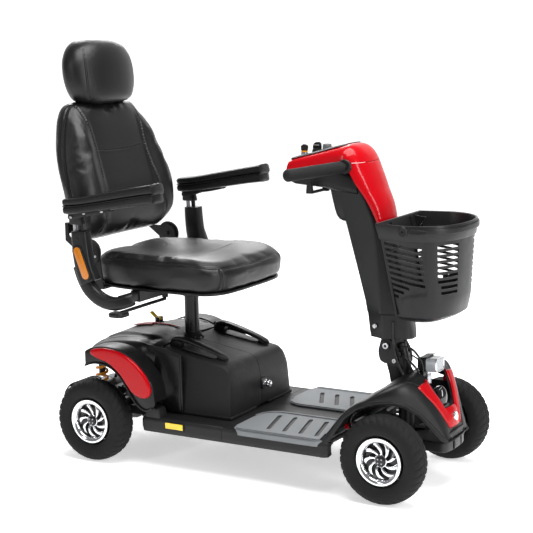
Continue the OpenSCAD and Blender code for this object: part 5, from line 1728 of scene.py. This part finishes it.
def controls():
    """Key, mode dial, light knob and horn button on the console."""
    # key: silver barrel, orange ring and a black bow
    barrel = coat(revolve("key_barrel",
                          [(ON_AXIS, -0.0045), (0.0090, -0.0045), (0.0092, -0.0010), (0.0084, 0.0022),
                           (0.0060, 0.0030), (ON_AXIS, 0.0032)], (0.557, -0.016, 0.8590), "z", 32), STEEL)
    band_ring = coat(revolve("key_ring",
                             [(ON_AXIS, 0.0), (0.0084, 0.0), (0.0092, 0.0008), (0.0092, 0.0032),
                              (0.0080, 0.0038), (ON_AXIS, 0.0038)], (0.557, -0.016, 0.8618), "z", 32),
                     ORANGE)
    bow = coat(bevel(slab("key_bow", rounded([(0.5480, 0.8650), (0.5660, 0.8650), (0.5680, 0.8790),
                                              (0.5610, 0.8830), (0.5530, 0.8830), (0.5470, 0.8780)], 0.0035,
                                             5), -0.0196, -0.0124), 0.0022, 3), CONSOLE)
    place(join("key_set", [barrel, band_ring, bow]), "key", None, ["ignition_key"])
    # mode switch: skirted knob with a tall pointer
    skirt = ribbed_knob("dial_skirt", (0.585, 0.004, 0.8612), 0.0140, 0.0120, 0.0105, 18, CONSOLE)
    pointer = coat(bevel(slab("dial_pointer",
                              rounded([(0.5725, 0.8705), (0.5975, 0.8705), (0.5965, 0.8850),
                                       (0.5900, 0.8890), (0.5790, 0.8870), (0.5735, 0.8800)], 0.0035, 5),
                              -0.0002, 0.0082), 0.0022, 3), CONSOLE)
    mark = coat(block("dial_mark", (0.5770, -0.0012, 0.8790), (0.5930, -0.0002, 0.8812), 0.0003), LENS)
    stud = coat(revolve("dial_stud", [(ON_AXIS, 0.0), (0.0030, 0.0), (0.0030, 0.004), (ON_AXIS, 0.004)],
                        (0.585, 0.004, 0.8575), "z", 16), STEEL)
    place(join("dial_set", [skirt, pointer, mark, stud]), "dial", None, ["speed_dial"])
    knob = ribbed_knob("light_cap", (0.620, -0.006, 0.8690), 0.0125, 0.0112, 0.0160, 16, KNOB)
    collar = coat(revolve("light_collar",
                          [(ON_AXIS, 0.0), (0.0135, 0.0), (0.0140, 0.0012), (0.0125, 0.0026),
                           (ON_AXIS, 0.0026)], (0.620, -0.006, 0.8672), "z", 36), CONSOLE)
    place(join("light_set", [collar, knob]), "lights", None, ["light_knob"])
    horn = revolve("horn_cap", [(ON_AXIS, 0.0095), (0.0035, 0.0092), (0.0048, 0.0080), (0.0052, 0.0060),
                                (0.0052, 0.0), (ON_AXIS, 0.0)], (0.650, 0.024, 0.8720), "z", 32)
    place(horn, "horn", YELLOW, ["horn_button"])


def handlebars():
    """Foam grips on short bars, one on each side of the head."""
    grips, bars = [], []
    for side in (-1, 1):
        root = Vector((0.7055, side * 0.086, 0.8335))
        tip = Vector((0.6280, side * 0.2550, 0.8240))
        steps = 44
        path = [root.lerp(tip, k / steps) for k in range(steps + 1)]
        length = (tip - root).length
        radii = []
        for k in range(steps + 1):
            near, far = length * k / steps, length * (1 - k / steps)
            r = 0.0158
            if near < 0.008:
                r = 0.0158 * math.sqrt(max(0.02, 1 - ((0.008 - near) / 0.0085) ** 2))
            if far < 0.011:
                r = 0.0158 * math.sqrt(max(0.02, 1 - ((0.011 - far) / 0.0115) ** 2))
            radii.append(r)
        grips.append(coat(sweep(f"grip_{side}", path, radii, radii, side=(0, 0, 1), power=2, n=36,
                                angle=60), GRIP))
        bars.append(coat(tube(f"bar_{side}",
                              [(0.7100, side * 0.060, 0.8345), (0.7090, side * 0.074, 0.8340),
                               tuple(root.lerp(tip, 0.05))], 0.0108, 24, 4), CONSOLE))
        bars.append(coat(revolve(f"bar_collar_{side}",
                                 [(0.0105, 0.0), (0.0185, side * 0.001), (0.0195, side * 0.004),
                                  (0.0175, side * 0.007), (0.0105, side * 0.008)],
                                 (0.7085, side * 0.0775, 0.8338), "y", 32), CONSOLE))
    place(join("grips_foam", grips), "tiller", None, ["handlebar_grips"])
    place(join("bar_stubs", bars), "tiller", None, ["handlebar"])


def throttle():
    """Rocking thumb lever under the head: a cross arm with a paddle at each end."""
    arm = sweep("wigwag_arm", [(0.6100, y, 0.7632) for y in np.linspace(-0.080, 0.080, 21)], [0.0062] * 21,
                [0.0034] * 21, side=(1, 0, 0), power=3.4, n=20)
    hub = revolve("wigwag_hub", [(ON_AXIS, -0.0052), (0.0080, -0.0050), (0.0098, -0.0030), (0.0098, 0.0058),
                                 (ON_AXIS, 0.0060)], (0.612, 0, 0.7640), "z", 36)
    parts = [arm, hub]
    for side in (-1, 1):
        rows = [(0.7610, 0.0085, 0.0160), (0.7640, 0.0090, 0.0168), (0.7760, 0.0078, 0.0170),
                (0.7880, 0.0062, 0.0164), (0.7930, 0.0048, 0.0145), (0.7938, 0.0030, 0.0120)]
        parts.append(loft(f"paddle_{side}",
                          [[(0.6070 + a, side * 0.0825 + b * 0.5, z)
                            for a, b in superellipse(t, w, 3.2, 32)] for z, t, w in rows], angle=45))
    for p in parts:
        coat(p, CONSOLE)
    place(join("wigwag_lever", parts), "throttle", None, ["throttle_lever"])


# ------------------------------------------------------------------ basket

BASKET_ROWS = [(0.446, 0.880, 0.096, 0.920, 0.104, 0.972), (0.452, 0.875, 0.108, 0.917, 0.115, 0.986),
               (0.464, 0.868, 0.116, 0.915, 0.124, 0.998), (0.500, 0.861, 0.119, 0.913, 0.128, 1.007),
               (0.660, 0.833, 0.131, 0.905, 0.1445, 1.015), (0.700, 0.8225, 0.1350, 0.905, 0.1480, 1.018)]
SLOT_PITCH = 0.0148
SLOT_HALF = 0.0041


def basket_point(u, z):
    """Point on the basket's side at u from 0 (right rear corner) round the front to 1 (left rear corner)."""
    xr, wr, xm, wm, xf = lookup([(r[0], *r[1:]) for r in BASKET_ROWS], z)
    side_share = 0.2
    if u < side_share or u > 1 - side_share:
        t = (u if u < 0.5 else 1 - u) / side_share
        bow = 0.10 * t * (1 - t)
        x, y = xr + (xm - xr) * t, wr + (wm - wr) * (t + bow)
        return (x, -y if u < 0.5 else y, z)
    a = -math.pi / 2 + math.pi * (u - side_share) / (1 - 2 * side_share)
    c, s = math.cos(a), math.sin(a)
    return (xm + (xf - xm) * max(0.0, c) ** 0.85, wm * math.copysign(abs(s) ** 0.85, s), z)


def slot_drop(u):
    """How far the slots slope down by the time they reach u."""
    m = min(u, 1 - u)
    slant = 0.165 * (basket_point(min(m, 0.285), 0.58)[0] - 0.850)
    return slant + (0.006 - slant) * ramp(m, 0.280, 0.335)


def in_window(u, k):
    """Whether slot number k is open at u."""
    m = min(u, 1 - u)
    if 0.020 < m < 0.262 + 0.0012 * k:
        return k < 7 or m < (0.262 - 0.062 * (k - 6))
    if 0.334 < m < 0.445:
        return k <= 8 and (k < 7 or m > 0.352)
    return False


def basket_walls():
    """Slotted basket wall as one sheet."""
    levels = [0.464, 0.474, 0.484, 0.494]
    tags = [None, None, None]
    base = [0.651 - SLOT_PITCH * k for k in range(10)]
    for k in reversed(range(10)):
        levels += [base[k] - SLOT_HALF, base[k], base[k] + SLOT_HALF]
        tags += [None, k, k]
    levels += [0.664]
    tags += [None]
    count = 240
    verts, faces = [], []
    for j, z in enumerate(levels):
        free = ramp(z, 0.474, 0.515) * (1 - 0.55 * ramp(z, 0.650, 0.664))
        for i in range(count + 1):
            u = i / count
            drop = slot_drop(u) * free
            x, y, zz = basket_point(u, z - drop if z < 0.66 else z)
            m = min(u, 1 - u)
            foot = ramp(zz, 0.497 + 0.10 * m, 0.502 + 0.10 * m)
            field = 0.0016 * ramp(m, 0.008, 0.016) * (1 - ramp(m, 0.272, 0.282)) * foot
            field *= 1 - ramp(zz, 0.652, 0.658)
            mid = Vector((0.915, 0, zz))
            inward = (mid - Vector((x, y, zz))).normalized()
            verts.append((x + inward.x * field, y + inward.y * field, zz))
    for j, tag in enumerate(tags):
        for i in range(count):
            u = (i + 0.5) / count
            if tag is not None and in_window(u, tag):
                continue
            p = j * (count + 1) + i
            faces.append((p, p + 1, p + count + 2, p + count + 1))
    used = sorted({v for f in faces for v in f})
    index = {v: n for n, v in enumerate(used)}
    wall = mesh_object("basket_wall", [verts[v] for v in used], [tuple(index[v] for v in f) for f in faces],
                       40)
    outward = sum((f.center.x - 0.915 - AXLE) * f.normal.x + f.center.y * f.normal.y
                  for f in wall.data.polygons)
    solidify(wall, 0.0028, -1 if outward > 0 else 1)
    return wall


def basket_ring(z, grow, count=120):
    """Closed loop round the basket at height z, moved outwards by grow."""
    ring = []
    for i in range(count + 1):
        x, y, _ = basket_point(i / count, z)
        mid = Vector((0.900, 0, 0))
        out = (Vector((x, y, 0)) - mid).normalized()
        ring.append((x + out.x * grow, y + out.y * grow, z))
    return ring


def basket():
    """Basket walls with the rim, foot, base, ribbed rear wall and hook."""
    wall = basket_walls()
    rim_rows = [(0.6605, -0.0022), (0.6600, 0.0030), (0.6615, 0.0042), (0.6960, 0.0046), (0.6995, 0.0036),
                (0.7005, 0.0015), (0.6995, -0.0012), (0.6960, -0.0020), (0.6640, -0.0024)]
    rings = [basket_ring(z, g) for z, g in rim_rows]
    rings.append(rings[0])
    rim = loft("basket_rim", rings, caps=False, closed=True, angle=40)
    foot_rings = [basket_ring(0.4645, 0.0), basket_ring(0.4560, -0.0035), basket_ring(0.4490, -0.0120),
                  basket_ring(0.4465, -0.0200), basket_ring(0.4500, -0.0210), basket_ring(0.4530, -0.0120),
                  basket_ring(0.4645, -0.0032)]
    foot = loft("basket_foot", foot_rings, caps=False, closed=True, angle=40)
    base_verts = basket_ring(0.4480, -0.0150)
    base = sheet_z("basket_base", [(x, y) for x, y, _ in base_verts], 0.4470, 0.4500)
    # flat rear wall with ribs and a pair of gussets
    rear_rings = []
    for z in (0.4640, 0.5200, 0.5800, 0.6400, 0.6995):
        xr, wr = lookup([(r[0], *r[1:]) for r in BASKET_ROWS], z)[:2]
        rear_rings.append([(xr, -wr, z), (xr, wr, z), (xr + 0.0032, wr - 0.002, z),
                           (xr + 0.0032, -wr + 0.002, z)])
    rear = loft("basket_rear", rear_rings, angle=30)
    windows = [block(f"rear_window_{k}_{side}", (0.80, min(side * 0.056, side * 0.112), 0.628 - 0.0148 * k),
                     (0.90, max(side * 0.056, side * 0.112), 0.635 - 0.0148 * k)) for k in range(4)
               for side in (-1, 1)]
    cut(rear, [join("rear_windows", windows)])
    extras = []
    for y in (-0.122, -0.060, 0.060, 0.122):
        extras.append(loft(f"basket_rib_{y}",
                           [[(lookup([(r[0], *r[1:]) for r in BASKET_ROWS], z)[0] + dx, y + dy, z)
                             for dx, dy in ((0.002, -0.0016), (0.0075, -0.0012), (0.0075, 0.0012),
                                            (0.002, 0.0016))] for z in np.linspace(0.466, 0.694, 8)],
                           angle=30))
    for side in (-1, 1):
        extras.append(slab(f"basket_gusset_{side}", [(0.826, 0.694), (0.862, 0.690), (0.832, 0.652)],
                           *sorted((side * 0.090, side * 0.0928))))
        extras.append(tube(f"basket_brace_{side}",
                           [(0.840, side * 0.118, 0.612), (0.880, side * 0.1375, 0.640),
                            (0.930, side * 0.138, 0.655)], 0.0018, 8, 4))
    # hook over the tiller's bar
    hook = slab("basket_hook", [(0.8255, 0.641), (0.8255, 0.6508), (0.838, 0.6508), (0.838, 0.654),
                                (0.8225, 0.654), (0.8225, 0.641)], -0.040, 0.040)
    body = join("basket_body_shell", [wall, rim, foot, base, rear, *extras, hook])
    place(body, "basket_body", BASKET, ["basket"])
    body.data.set_sharp_from_angle(angle=math.radians(38))


def bail():
    """Carry handle: a flat band round the front of the rim on two pivots."""
    boss_x, boss_z = 0.905, 0.686
    pts, count = [], 60
    for i in range(count + 1):
        a = -math.pi / 2 + math.pi * i / count
        c, s = math.cos(a), math.sin(a)
        x = boss_x + 0.1195 * max(0.0, c) ** 0.85
        y = 0.1530 * math.copysign(abs(s) ** 0.85, s)
        pts.append((x, y, boss_z - 0.0005 * math.sin(math.pi * i / count)))
    band_part = sweep("bail_band", pts, [0.0072] * (count + 1), [0.0019] * (count + 1), side=(0, 0, 1),
                      power=5, n=20)
    parts = [band_part]
    for side in (-1, 1):
        parts.append(revolve(f"bail_boss_{side}",
                             [(ON_AXIS, side * 0.0010), (0.0036, side * 0.0010), (0.0040, side * 0.0032),
                              (0.0108, side * 0.0034), (0.0122, side * 0.0020), (0.0122, side * -0.0040),
                              (ON_AXIS, side * -0.0040)], (boss_x, side * 0.1540, boss_z), "y", 40))
        tab = rounded([(boss_x + 0.018, boss_z - 0.0045), (boss_x + 0.062, boss_z - 0.0045),
                       (boss_x + 0.062, boss_z + 0.0045), (boss_x + 0.018, boss_z + 0.0045)], 0.004, 5)
        route = []
        for x, z in tab:
            inset = 0.35 * max(0, x - boss_x - 0.004) ** 1.6
            route.append((x, side * (0.1556 - 0.00001 - inset), z))
        edge = tube(f"bail_tab_{side}", route, 0.0008, 8, 1, closed=True)
        parts.append(edge)
    for p in parts:
        coat(p, BASKET)
    place(join("basket_bail", parts), "bail", None, ["basket_handle"])


def tiller():
    """Everything that turns and tilts with the tiller."""
    column_cover()
    cowl()
    console()
    controls()
    handlebars()
    throttle()
    basket()
    bail()


# ------------------------------------------------------------------ drive, springs and small parts

def springs():
    """Orange coil springs with their seats and nuts, one beside each rear wheel."""
    coils, seats = [], []
    for side in (-1, 1):
        turns, steps = 5.4, 26
        count = int(turns * steps)
        path = []
        for i in range(count + 1):
            a = 2 * math.pi * i / steps
            rise = (0.2595 - 0.1505) * i / count
            path.append((-0.030 + 0.0150 * math.cos(a), side * 0.160 + 0.0150 * math.sin(a), 0.1505 + rise))
        coil = coat(tube(f"coil_{side}", path, 0.0041, 14, 1), ORANGE)
        coils.append(coil)
        for z0, z1, r in ((0.1462, 0.1490, 0.0195), (0.2608, 0.2638, 0.0195)):
            seats.append(coat(revolve(f"spring_cup_{side}_{z0}",
                                      [(ON_AXIS, 0.0), (r - 0.001, 0.0), (r, 0.0008), (r, z1 - z0 - 0.0006),
                                       (r - 0.001, z1 - z0), (ON_AXIS, z1 - z0)],
                                      (-0.030, side * 0.160, z0), "z", 40), STEEL))
        rod = coat(revolve(f"spring_rod_{side}",
                           [(ON_AXIS, 0.0), (0.0062, 0.0), (0.0062, 0.0500), (0.0050, 0.0520),
                            (ON_AXIS, 0.0520)], (-0.030, side * 0.160, 0.149), "z", 24), STEEL)
        nut = coat(revolve(f"spring_nut_{side}",
                           [(ON_AXIS, 0.0), (0.0098, 0.0), (0.0105, 0.0010), (0.0105, 0.0060),
                            (0.0096, 0.0070), (ON_AXIS, 0.0070)], (-0.030, side * 0.160, 0.2010), "z", 6),
                   STEEL)
        seats += [rod, nut]
    place(join("coil_springs", coils), "drive_unit", None, ["suspension_springs"])
    place(join("spring_seats", seats), "drive_unit", None)


def anti_tip():
    """Treads, hubs and shared axle of the two anti-tip wheels."""
    parts = []
    for side in (-1, 1):
        tread = coat(revolve(f"tip_tread_{side}",
                             [(0.0120, -0.0078), (0.0205, -0.0078), (0.0232, -0.0070), (0.0247, -0.0045),
                              (0.0247, 0.0045), (0.0232, 0.0070), (0.0205, 0.0078), (0.0120, 0.0078)],
                             (-0.190, side * 0.078, 0.040), "y", 56), TYRE)
        hub = coat(revolve(f"tip_hub_{side}",
                           [(0.0050, -0.0070), (0.0090, -0.0074), (0.0122, -0.0060), (0.0122, 0.0060),
                            (0.0090, 0.0074), (0.0050, 0.0070)], (-0.190, side * 0.078, 0.040), "y", 40),
                   KNOB)
        parts += [tread, hub]
    parts.append(coat(revolve("tip_axle",
                              [(ON_AXIS, -0.0880), (0.0044, -0.0880), (0.0050, -0.0870), (0.0050, 0.0870),
                               (0.0044, 0.0880), (ON_AXIS, 0.0880)], (-0.190, 0, 0.040), "y", 28), STEEL))
    place(join("anti_tip_rollers", parts), "anti_tip", None, ["anti_tip_wheels"])


def drive_details():
    """Cooling fins on the motor, gearbox ribs with bolts, and the motor lead."""
    parts = []
    for k in range(9):
        parts.append(coat(revolve(f"motor_fin_{k}",
                                  [(0.0495, -0.0016), (0.0535, -0.0012), (0.0535, 0.0012),
                                   (0.0495, 0.0016)], (-0.130, -0.140 + 0.010 * k, 0.132), "y", 64), MOTOR))
    cap = coat(revolve("motor_cap", [(ON_AXIS, -0.0060), (0.0300, -0.0055), (0.0440, -0.0035),
                                     (0.0500, 0.0), (0.0500, 0.004), (ON_AXIS, 0.004)],
                       (-0.130, -0.150, 0.132), "y", 64), SHROUD)
    brake = coat(revolve("brake_cap", [(ON_AXIS, 0.0050), (0.0250, 0.0045), (0.0360, 0.0020),
                                       (0.0390, -0.003), (0.0390, -0.040), (ON_AXIS, -0.040)],
                         (-0.130, 0.040, 0.132), "y", 56), CAST)
    parts += [cap, brake]
    for k in range(6):
        a = math.pi / 3 * k
        parts.append(bolt_y(f"cap_bolt_{k}", -0.130 + 0.042 * math.cos(a), -0.1535,
                            0.132 + 0.042 * math.sin(a), -1, 0.0042))
    for side in (-1, 1):
        parts.append(coat(revolve(f"axle_flange_{side}",
                                  [(0.0225, side * 0.046), (0.0400, side * 0.047), (0.0420, side * 0.050),
                                   (0.0420, side * 0.056), (0.0340, side * 0.060), (0.0250, side * 0.074),
                                   (0.0225, side * 0.076)], (0, 0, TYRE_R), "y", 56), CAST))
        for k in range(6):
            a = math.pi / 3 * k + 0.3
            parts.append(bolt_y(f"flange_bolt_{side}_{k}", 0.037 * math.cos(a), side * 0.0560,
                                TYRE_R + 0.037 * math.sin(a), side, 0.0036))
    for k in range(5):
        parts.append(coat(bevel(slab(f"gear_rib_{k}",
                                     [(-0.052 + 0.024 * k, 0.1560), (-0.047 + 0.024 * k, 0.1560),
                                      (-0.047 + 0.024 * k, 0.1625), (-0.052 + 0.024 * k, 0.1625)], -0.040,
                                     0.040), 0.0012, 2), CAST))
    lead = coat(tube("motor_lead", [(-0.110, 0.010, 0.168), (-0.100, 0.012, 0.186), (-0.070, 0.020, 0.190),
                                    (-0.040, 0.030, 0.172)], 0.0042, 14, 8), CABLE)
    parts.append(lead)
    place(join("drive_castings", parts), "drive_unit", None)


def swivel_paddle():
    """Rod, plate and hub of the lever that frees the seat swivel."""
    shaft = tube("swivel_rod", [(0.118, -0.048, 0.4355), (0.118, -0.120, 0.4355), (0.118, -0.200, 0.4352),
                                (0.118, -0.262, 0.4345)], 0.0048, 18, 3)
    plate = bevel(sheet_z("swivel_plate",
                          rounded([(0.092, -0.256), (0.144, -0.256), (0.141, -0.290), (0.132, -0.2985),
                                   (0.104, -0.2985), (0.095, -0.290)], 0.007, 5), 0.4255, 0.4375), 0.0035,
                  4)
    hub = revolve("swivel_hub", [(ON_AXIS, 0.0), (0.0085, 0.0), (0.0092, 0.001), (0.0092, 0.0110),
                                 (0.0080, 0.0120), (ON_AXIS, 0.0120)], (0.118, -0.048, 0.4402), "z", 32)
    for p in (shaft, plate, hub):
        coat(p, ARM)
    place(join("swivel_handle", [shaft, plate, hub]), "swivel", None, ["swivel_lever"])


def seat_hardware():
    """Bolts and collars on the seat's bracket and the post's sleeve."""
    bolts = []
    for side in (-1, 1):
        for x, z in ((0.030, 0.4620), (0.080, 0.4620), (0.235, 0.4620)):
            bolts.append(bolt_y(f"seat_bolt_{side}_{x}", x, side * 0.0660, z, side, 0.0062))
    place(join("seat_bolts", bolts), "seat", None)
    collar = coat(revolve("post_collar",
                          [(0.0226, 0.0), (0.0300, 0.0), (0.0315, 0.0015), (0.0315, 0.0090),
                           (0.0300, 0.0110), (0.0226, 0.0120)], (0.176, 0, 0.4440), "z", 56), CONSOLE)
    gaiter = coat(revolve("post_gaiter",
                          [(0.0226, 0.0), (0.0262, 0.0), (0.0272, 0.0015), (0.0272, 0.0040),
                           (0.0250, 0.0060), (0.0226, 0.0064)], (0.176, 0, 0.3280), "z", 56), CONSOLE)
    place(join("post_rings", [collar, gaiter]), "post", None)


def control_lead():
    """Control lead, clipped along the stem from the column down into the nose."""
    route = [(0.826, -0.045, 0.430), (0.826, -0.045, 0.412), (0.826, -0.045, 0.396), (0.827, -0.045, 0.380),
             (0.829, -0.045, 0.364), (0.832, -0.045, 0.348), (0.837, -0.045, 0.332),
             (0.843, -0.0445, 0.317), (0.850, -0.0445, 0.303), (0.858, -0.045, 0.291),
             (0.867, -0.046, 0.281), (0.876, -0.043, 0.274), (0.885, -0.035, 0.268), (0.891, -0.025, 0.262),
             (0.893, -0.015, 0.255)]
    lead = coat(tube("control_lead_jacket", route, 0.0034, 18, 4), CABLE)
    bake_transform(lead)
    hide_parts("tiller_cable")


def drive():
    """Springs, anti-tip wheels, motor details, seat hardware and the control lead."""
    springs()
    anti_tip()
    drive_details()
    swivel_paddle()
    seat_hardware()
    control_lead()


# ------------------------------------------------------------------ materials of the kept CAD nodes

KEPT_NODES = {
    "chassis_frame": FRAME, "controller_box": SHROUD, "battery_cells_left": CELL,
    "battery_cells_right": CELL, "knuckle_left": CAST, "knuckle_right": CAST,
    "tie_rod": STEEL, "tiller_frame": COLUMN, "seat_post": POST,
    "seat_frame": FRAME, "backrest_frame": FRAME, "headrest_posts": CHROME,
    "swing_arm": FRAME, "transaxle": MOTOR
}


def paint_kept_nodes():
    """Materials for the CAD nodes that stay visible."""
    for node, material in KEPT_NODES.items():
        data = bpy.data.objects[node].data
        for i in range(len(data.materials)):
            data.materials[i] = material
        if not data.materials:
            data.materials.append(material)


# ------------------------------------------------------------------ studio

PAPER_GLOW = 0.52
SKY = 0.22
# name, size, energy, place, aim
LAMPS = [
    ("top_box", (2.4, 1.8), 112, (0.6, -0.2, 3.0), (0.05, 0, 0.3)),
    ("front_strip", (0.55, 2.2), 52, (3.0, -0.7, 1.5), (0.3, 0, 0.5)),
    ("side_strip", (0.5, 2.0), 15, (-1.3, -3.0, 2.0), (-0.1, 0, 0.45)),
    ("rear_box", (1.6, 1.4), 62, (-1.7, 2.2, 2.4), (0, 0, 0.6))
]
CAMERA_AT = (2.319 + AXLE, -3.282, 1.190)
CAMERA_LENS = 94.34
AZIMUTH, PITCH, ROLL = (math.radians(a) for a in (29.99, 9.71, -1.04))


def backdrop():
    """A wide white sweep: flat under the scooter and curving up far behind it."""
    bend = [math.radians(a) for a in range(6, 91, 6)]
    curve = [(4.0 + 2.5 * math.sin(a), 2.5 - 2.5 * math.cos(a)) for a in bend]
    profile = [(-6.0, 0.0), (4.0, 0.0), *curve, (6.5, 7.0)]
    heading = math.radians(30)
    ahead = Vector((-math.sin(heading), math.cos(heading), 0))
    across = Vector((math.cos(heading), math.sin(heading), 0))
    rings = []
    for w in (-9.0, 9.0):
        rings.append([tuple(ahead * d + across * w + Vector((0, 0, h))) for d, h in profile])
    sweep_sheet = loft("studio_floor", rings, caps=False, closed=False, angle=60)
    paper = surface("studio_paper", (0.97, 0.97, 0.97), 0.9, grain=40, bump=0.01, tone=0.002, specular=0.1)
    lit = paper.node_tree.nodes["Principled BSDF"]
    lit.inputs["Emission Color"].default_value = (1, 1, 1, 1)
    lit.inputs["Emission Strength"].default_value = PAPER_GLOW
    coat(sweep_sheet, paper)


def lamp(name, size, energy, place_at, aim):
    """Rectangular area lamp that points at aim."""
    data = bpy.data.lights.new(name, "AREA")
    data.shape = "RECTANGLE"
    data.size, data.size_y = size
    data.energy = energy
    obj = bpy.data.objects.new(name, data)
    bpy.context.scene.collection.objects.link(obj)
    obj.location = place_at
    obj.rotation_euler = (Vector(aim) - Vector(place_at)).to_track_quat("-Z", "Y").to_euler()
    return obj


def studio():
    """White sweep, pale sky and the lamps."""
    backdrop()
    scene = bpy.context.scene
    world = bpy.data.worlds.new("studio_world")
    world.use_nodes = True
    world.node_tree.nodes["Background"].inputs["Color"].default_value = (1, 1, 1, 1)
    world.node_tree.nodes["Background"].inputs["Strength"].default_value = SKY
    scene.world = world
    for name, size, energy, place_at, aim in LAMPS:
        lamp(name, size, energy, place_at, aim)
    scene.view_settings.view_transform = "Standard"
    scene.view_settings.look = "None"


def camera():
    """Eye-level three-quarter view from the right-hand front."""
    ahead = Vector((-math.sin(AZIMUTH) * math.cos(PITCH), math.cos(AZIMUTH) * math.cos(PITCH),
                    -math.sin(PITCH)))
    across = Vector((math.cos(AZIMUTH), math.sin(AZIMUTH), 0))
    up = across.cross(ahead)
    right = across * math.cos(ROLL) + up * math.sin(ROLL)
    top = up * math.cos(ROLL) - across * math.sin(ROLL)
    data = bpy.data.cameras.new("camera")
    data.lens = CAMERA_LENS
    data.sensor_width = 36
    data.clip_end = 60
    obj = bpy.data.objects.new("camera", data)
    bpy.context.scene.collection.objects.link(obj)
    turned = Matrix((right, top, -ahead)).transposed().to_4x4()
    obj.matrix_world = Matrix.Translation(CAMERA_AT) @ turned
    bpy.context.scene.camera = obj


# ------------------------------------------------------------------ the whole scooter

camera()
studio()
paint_kept_nodes()
wheels()
half_shafts()
deck()
floor_mats()
rear_covers()
rear_fenders()
batteries()
seat()
front_end()
tiller()
drive()
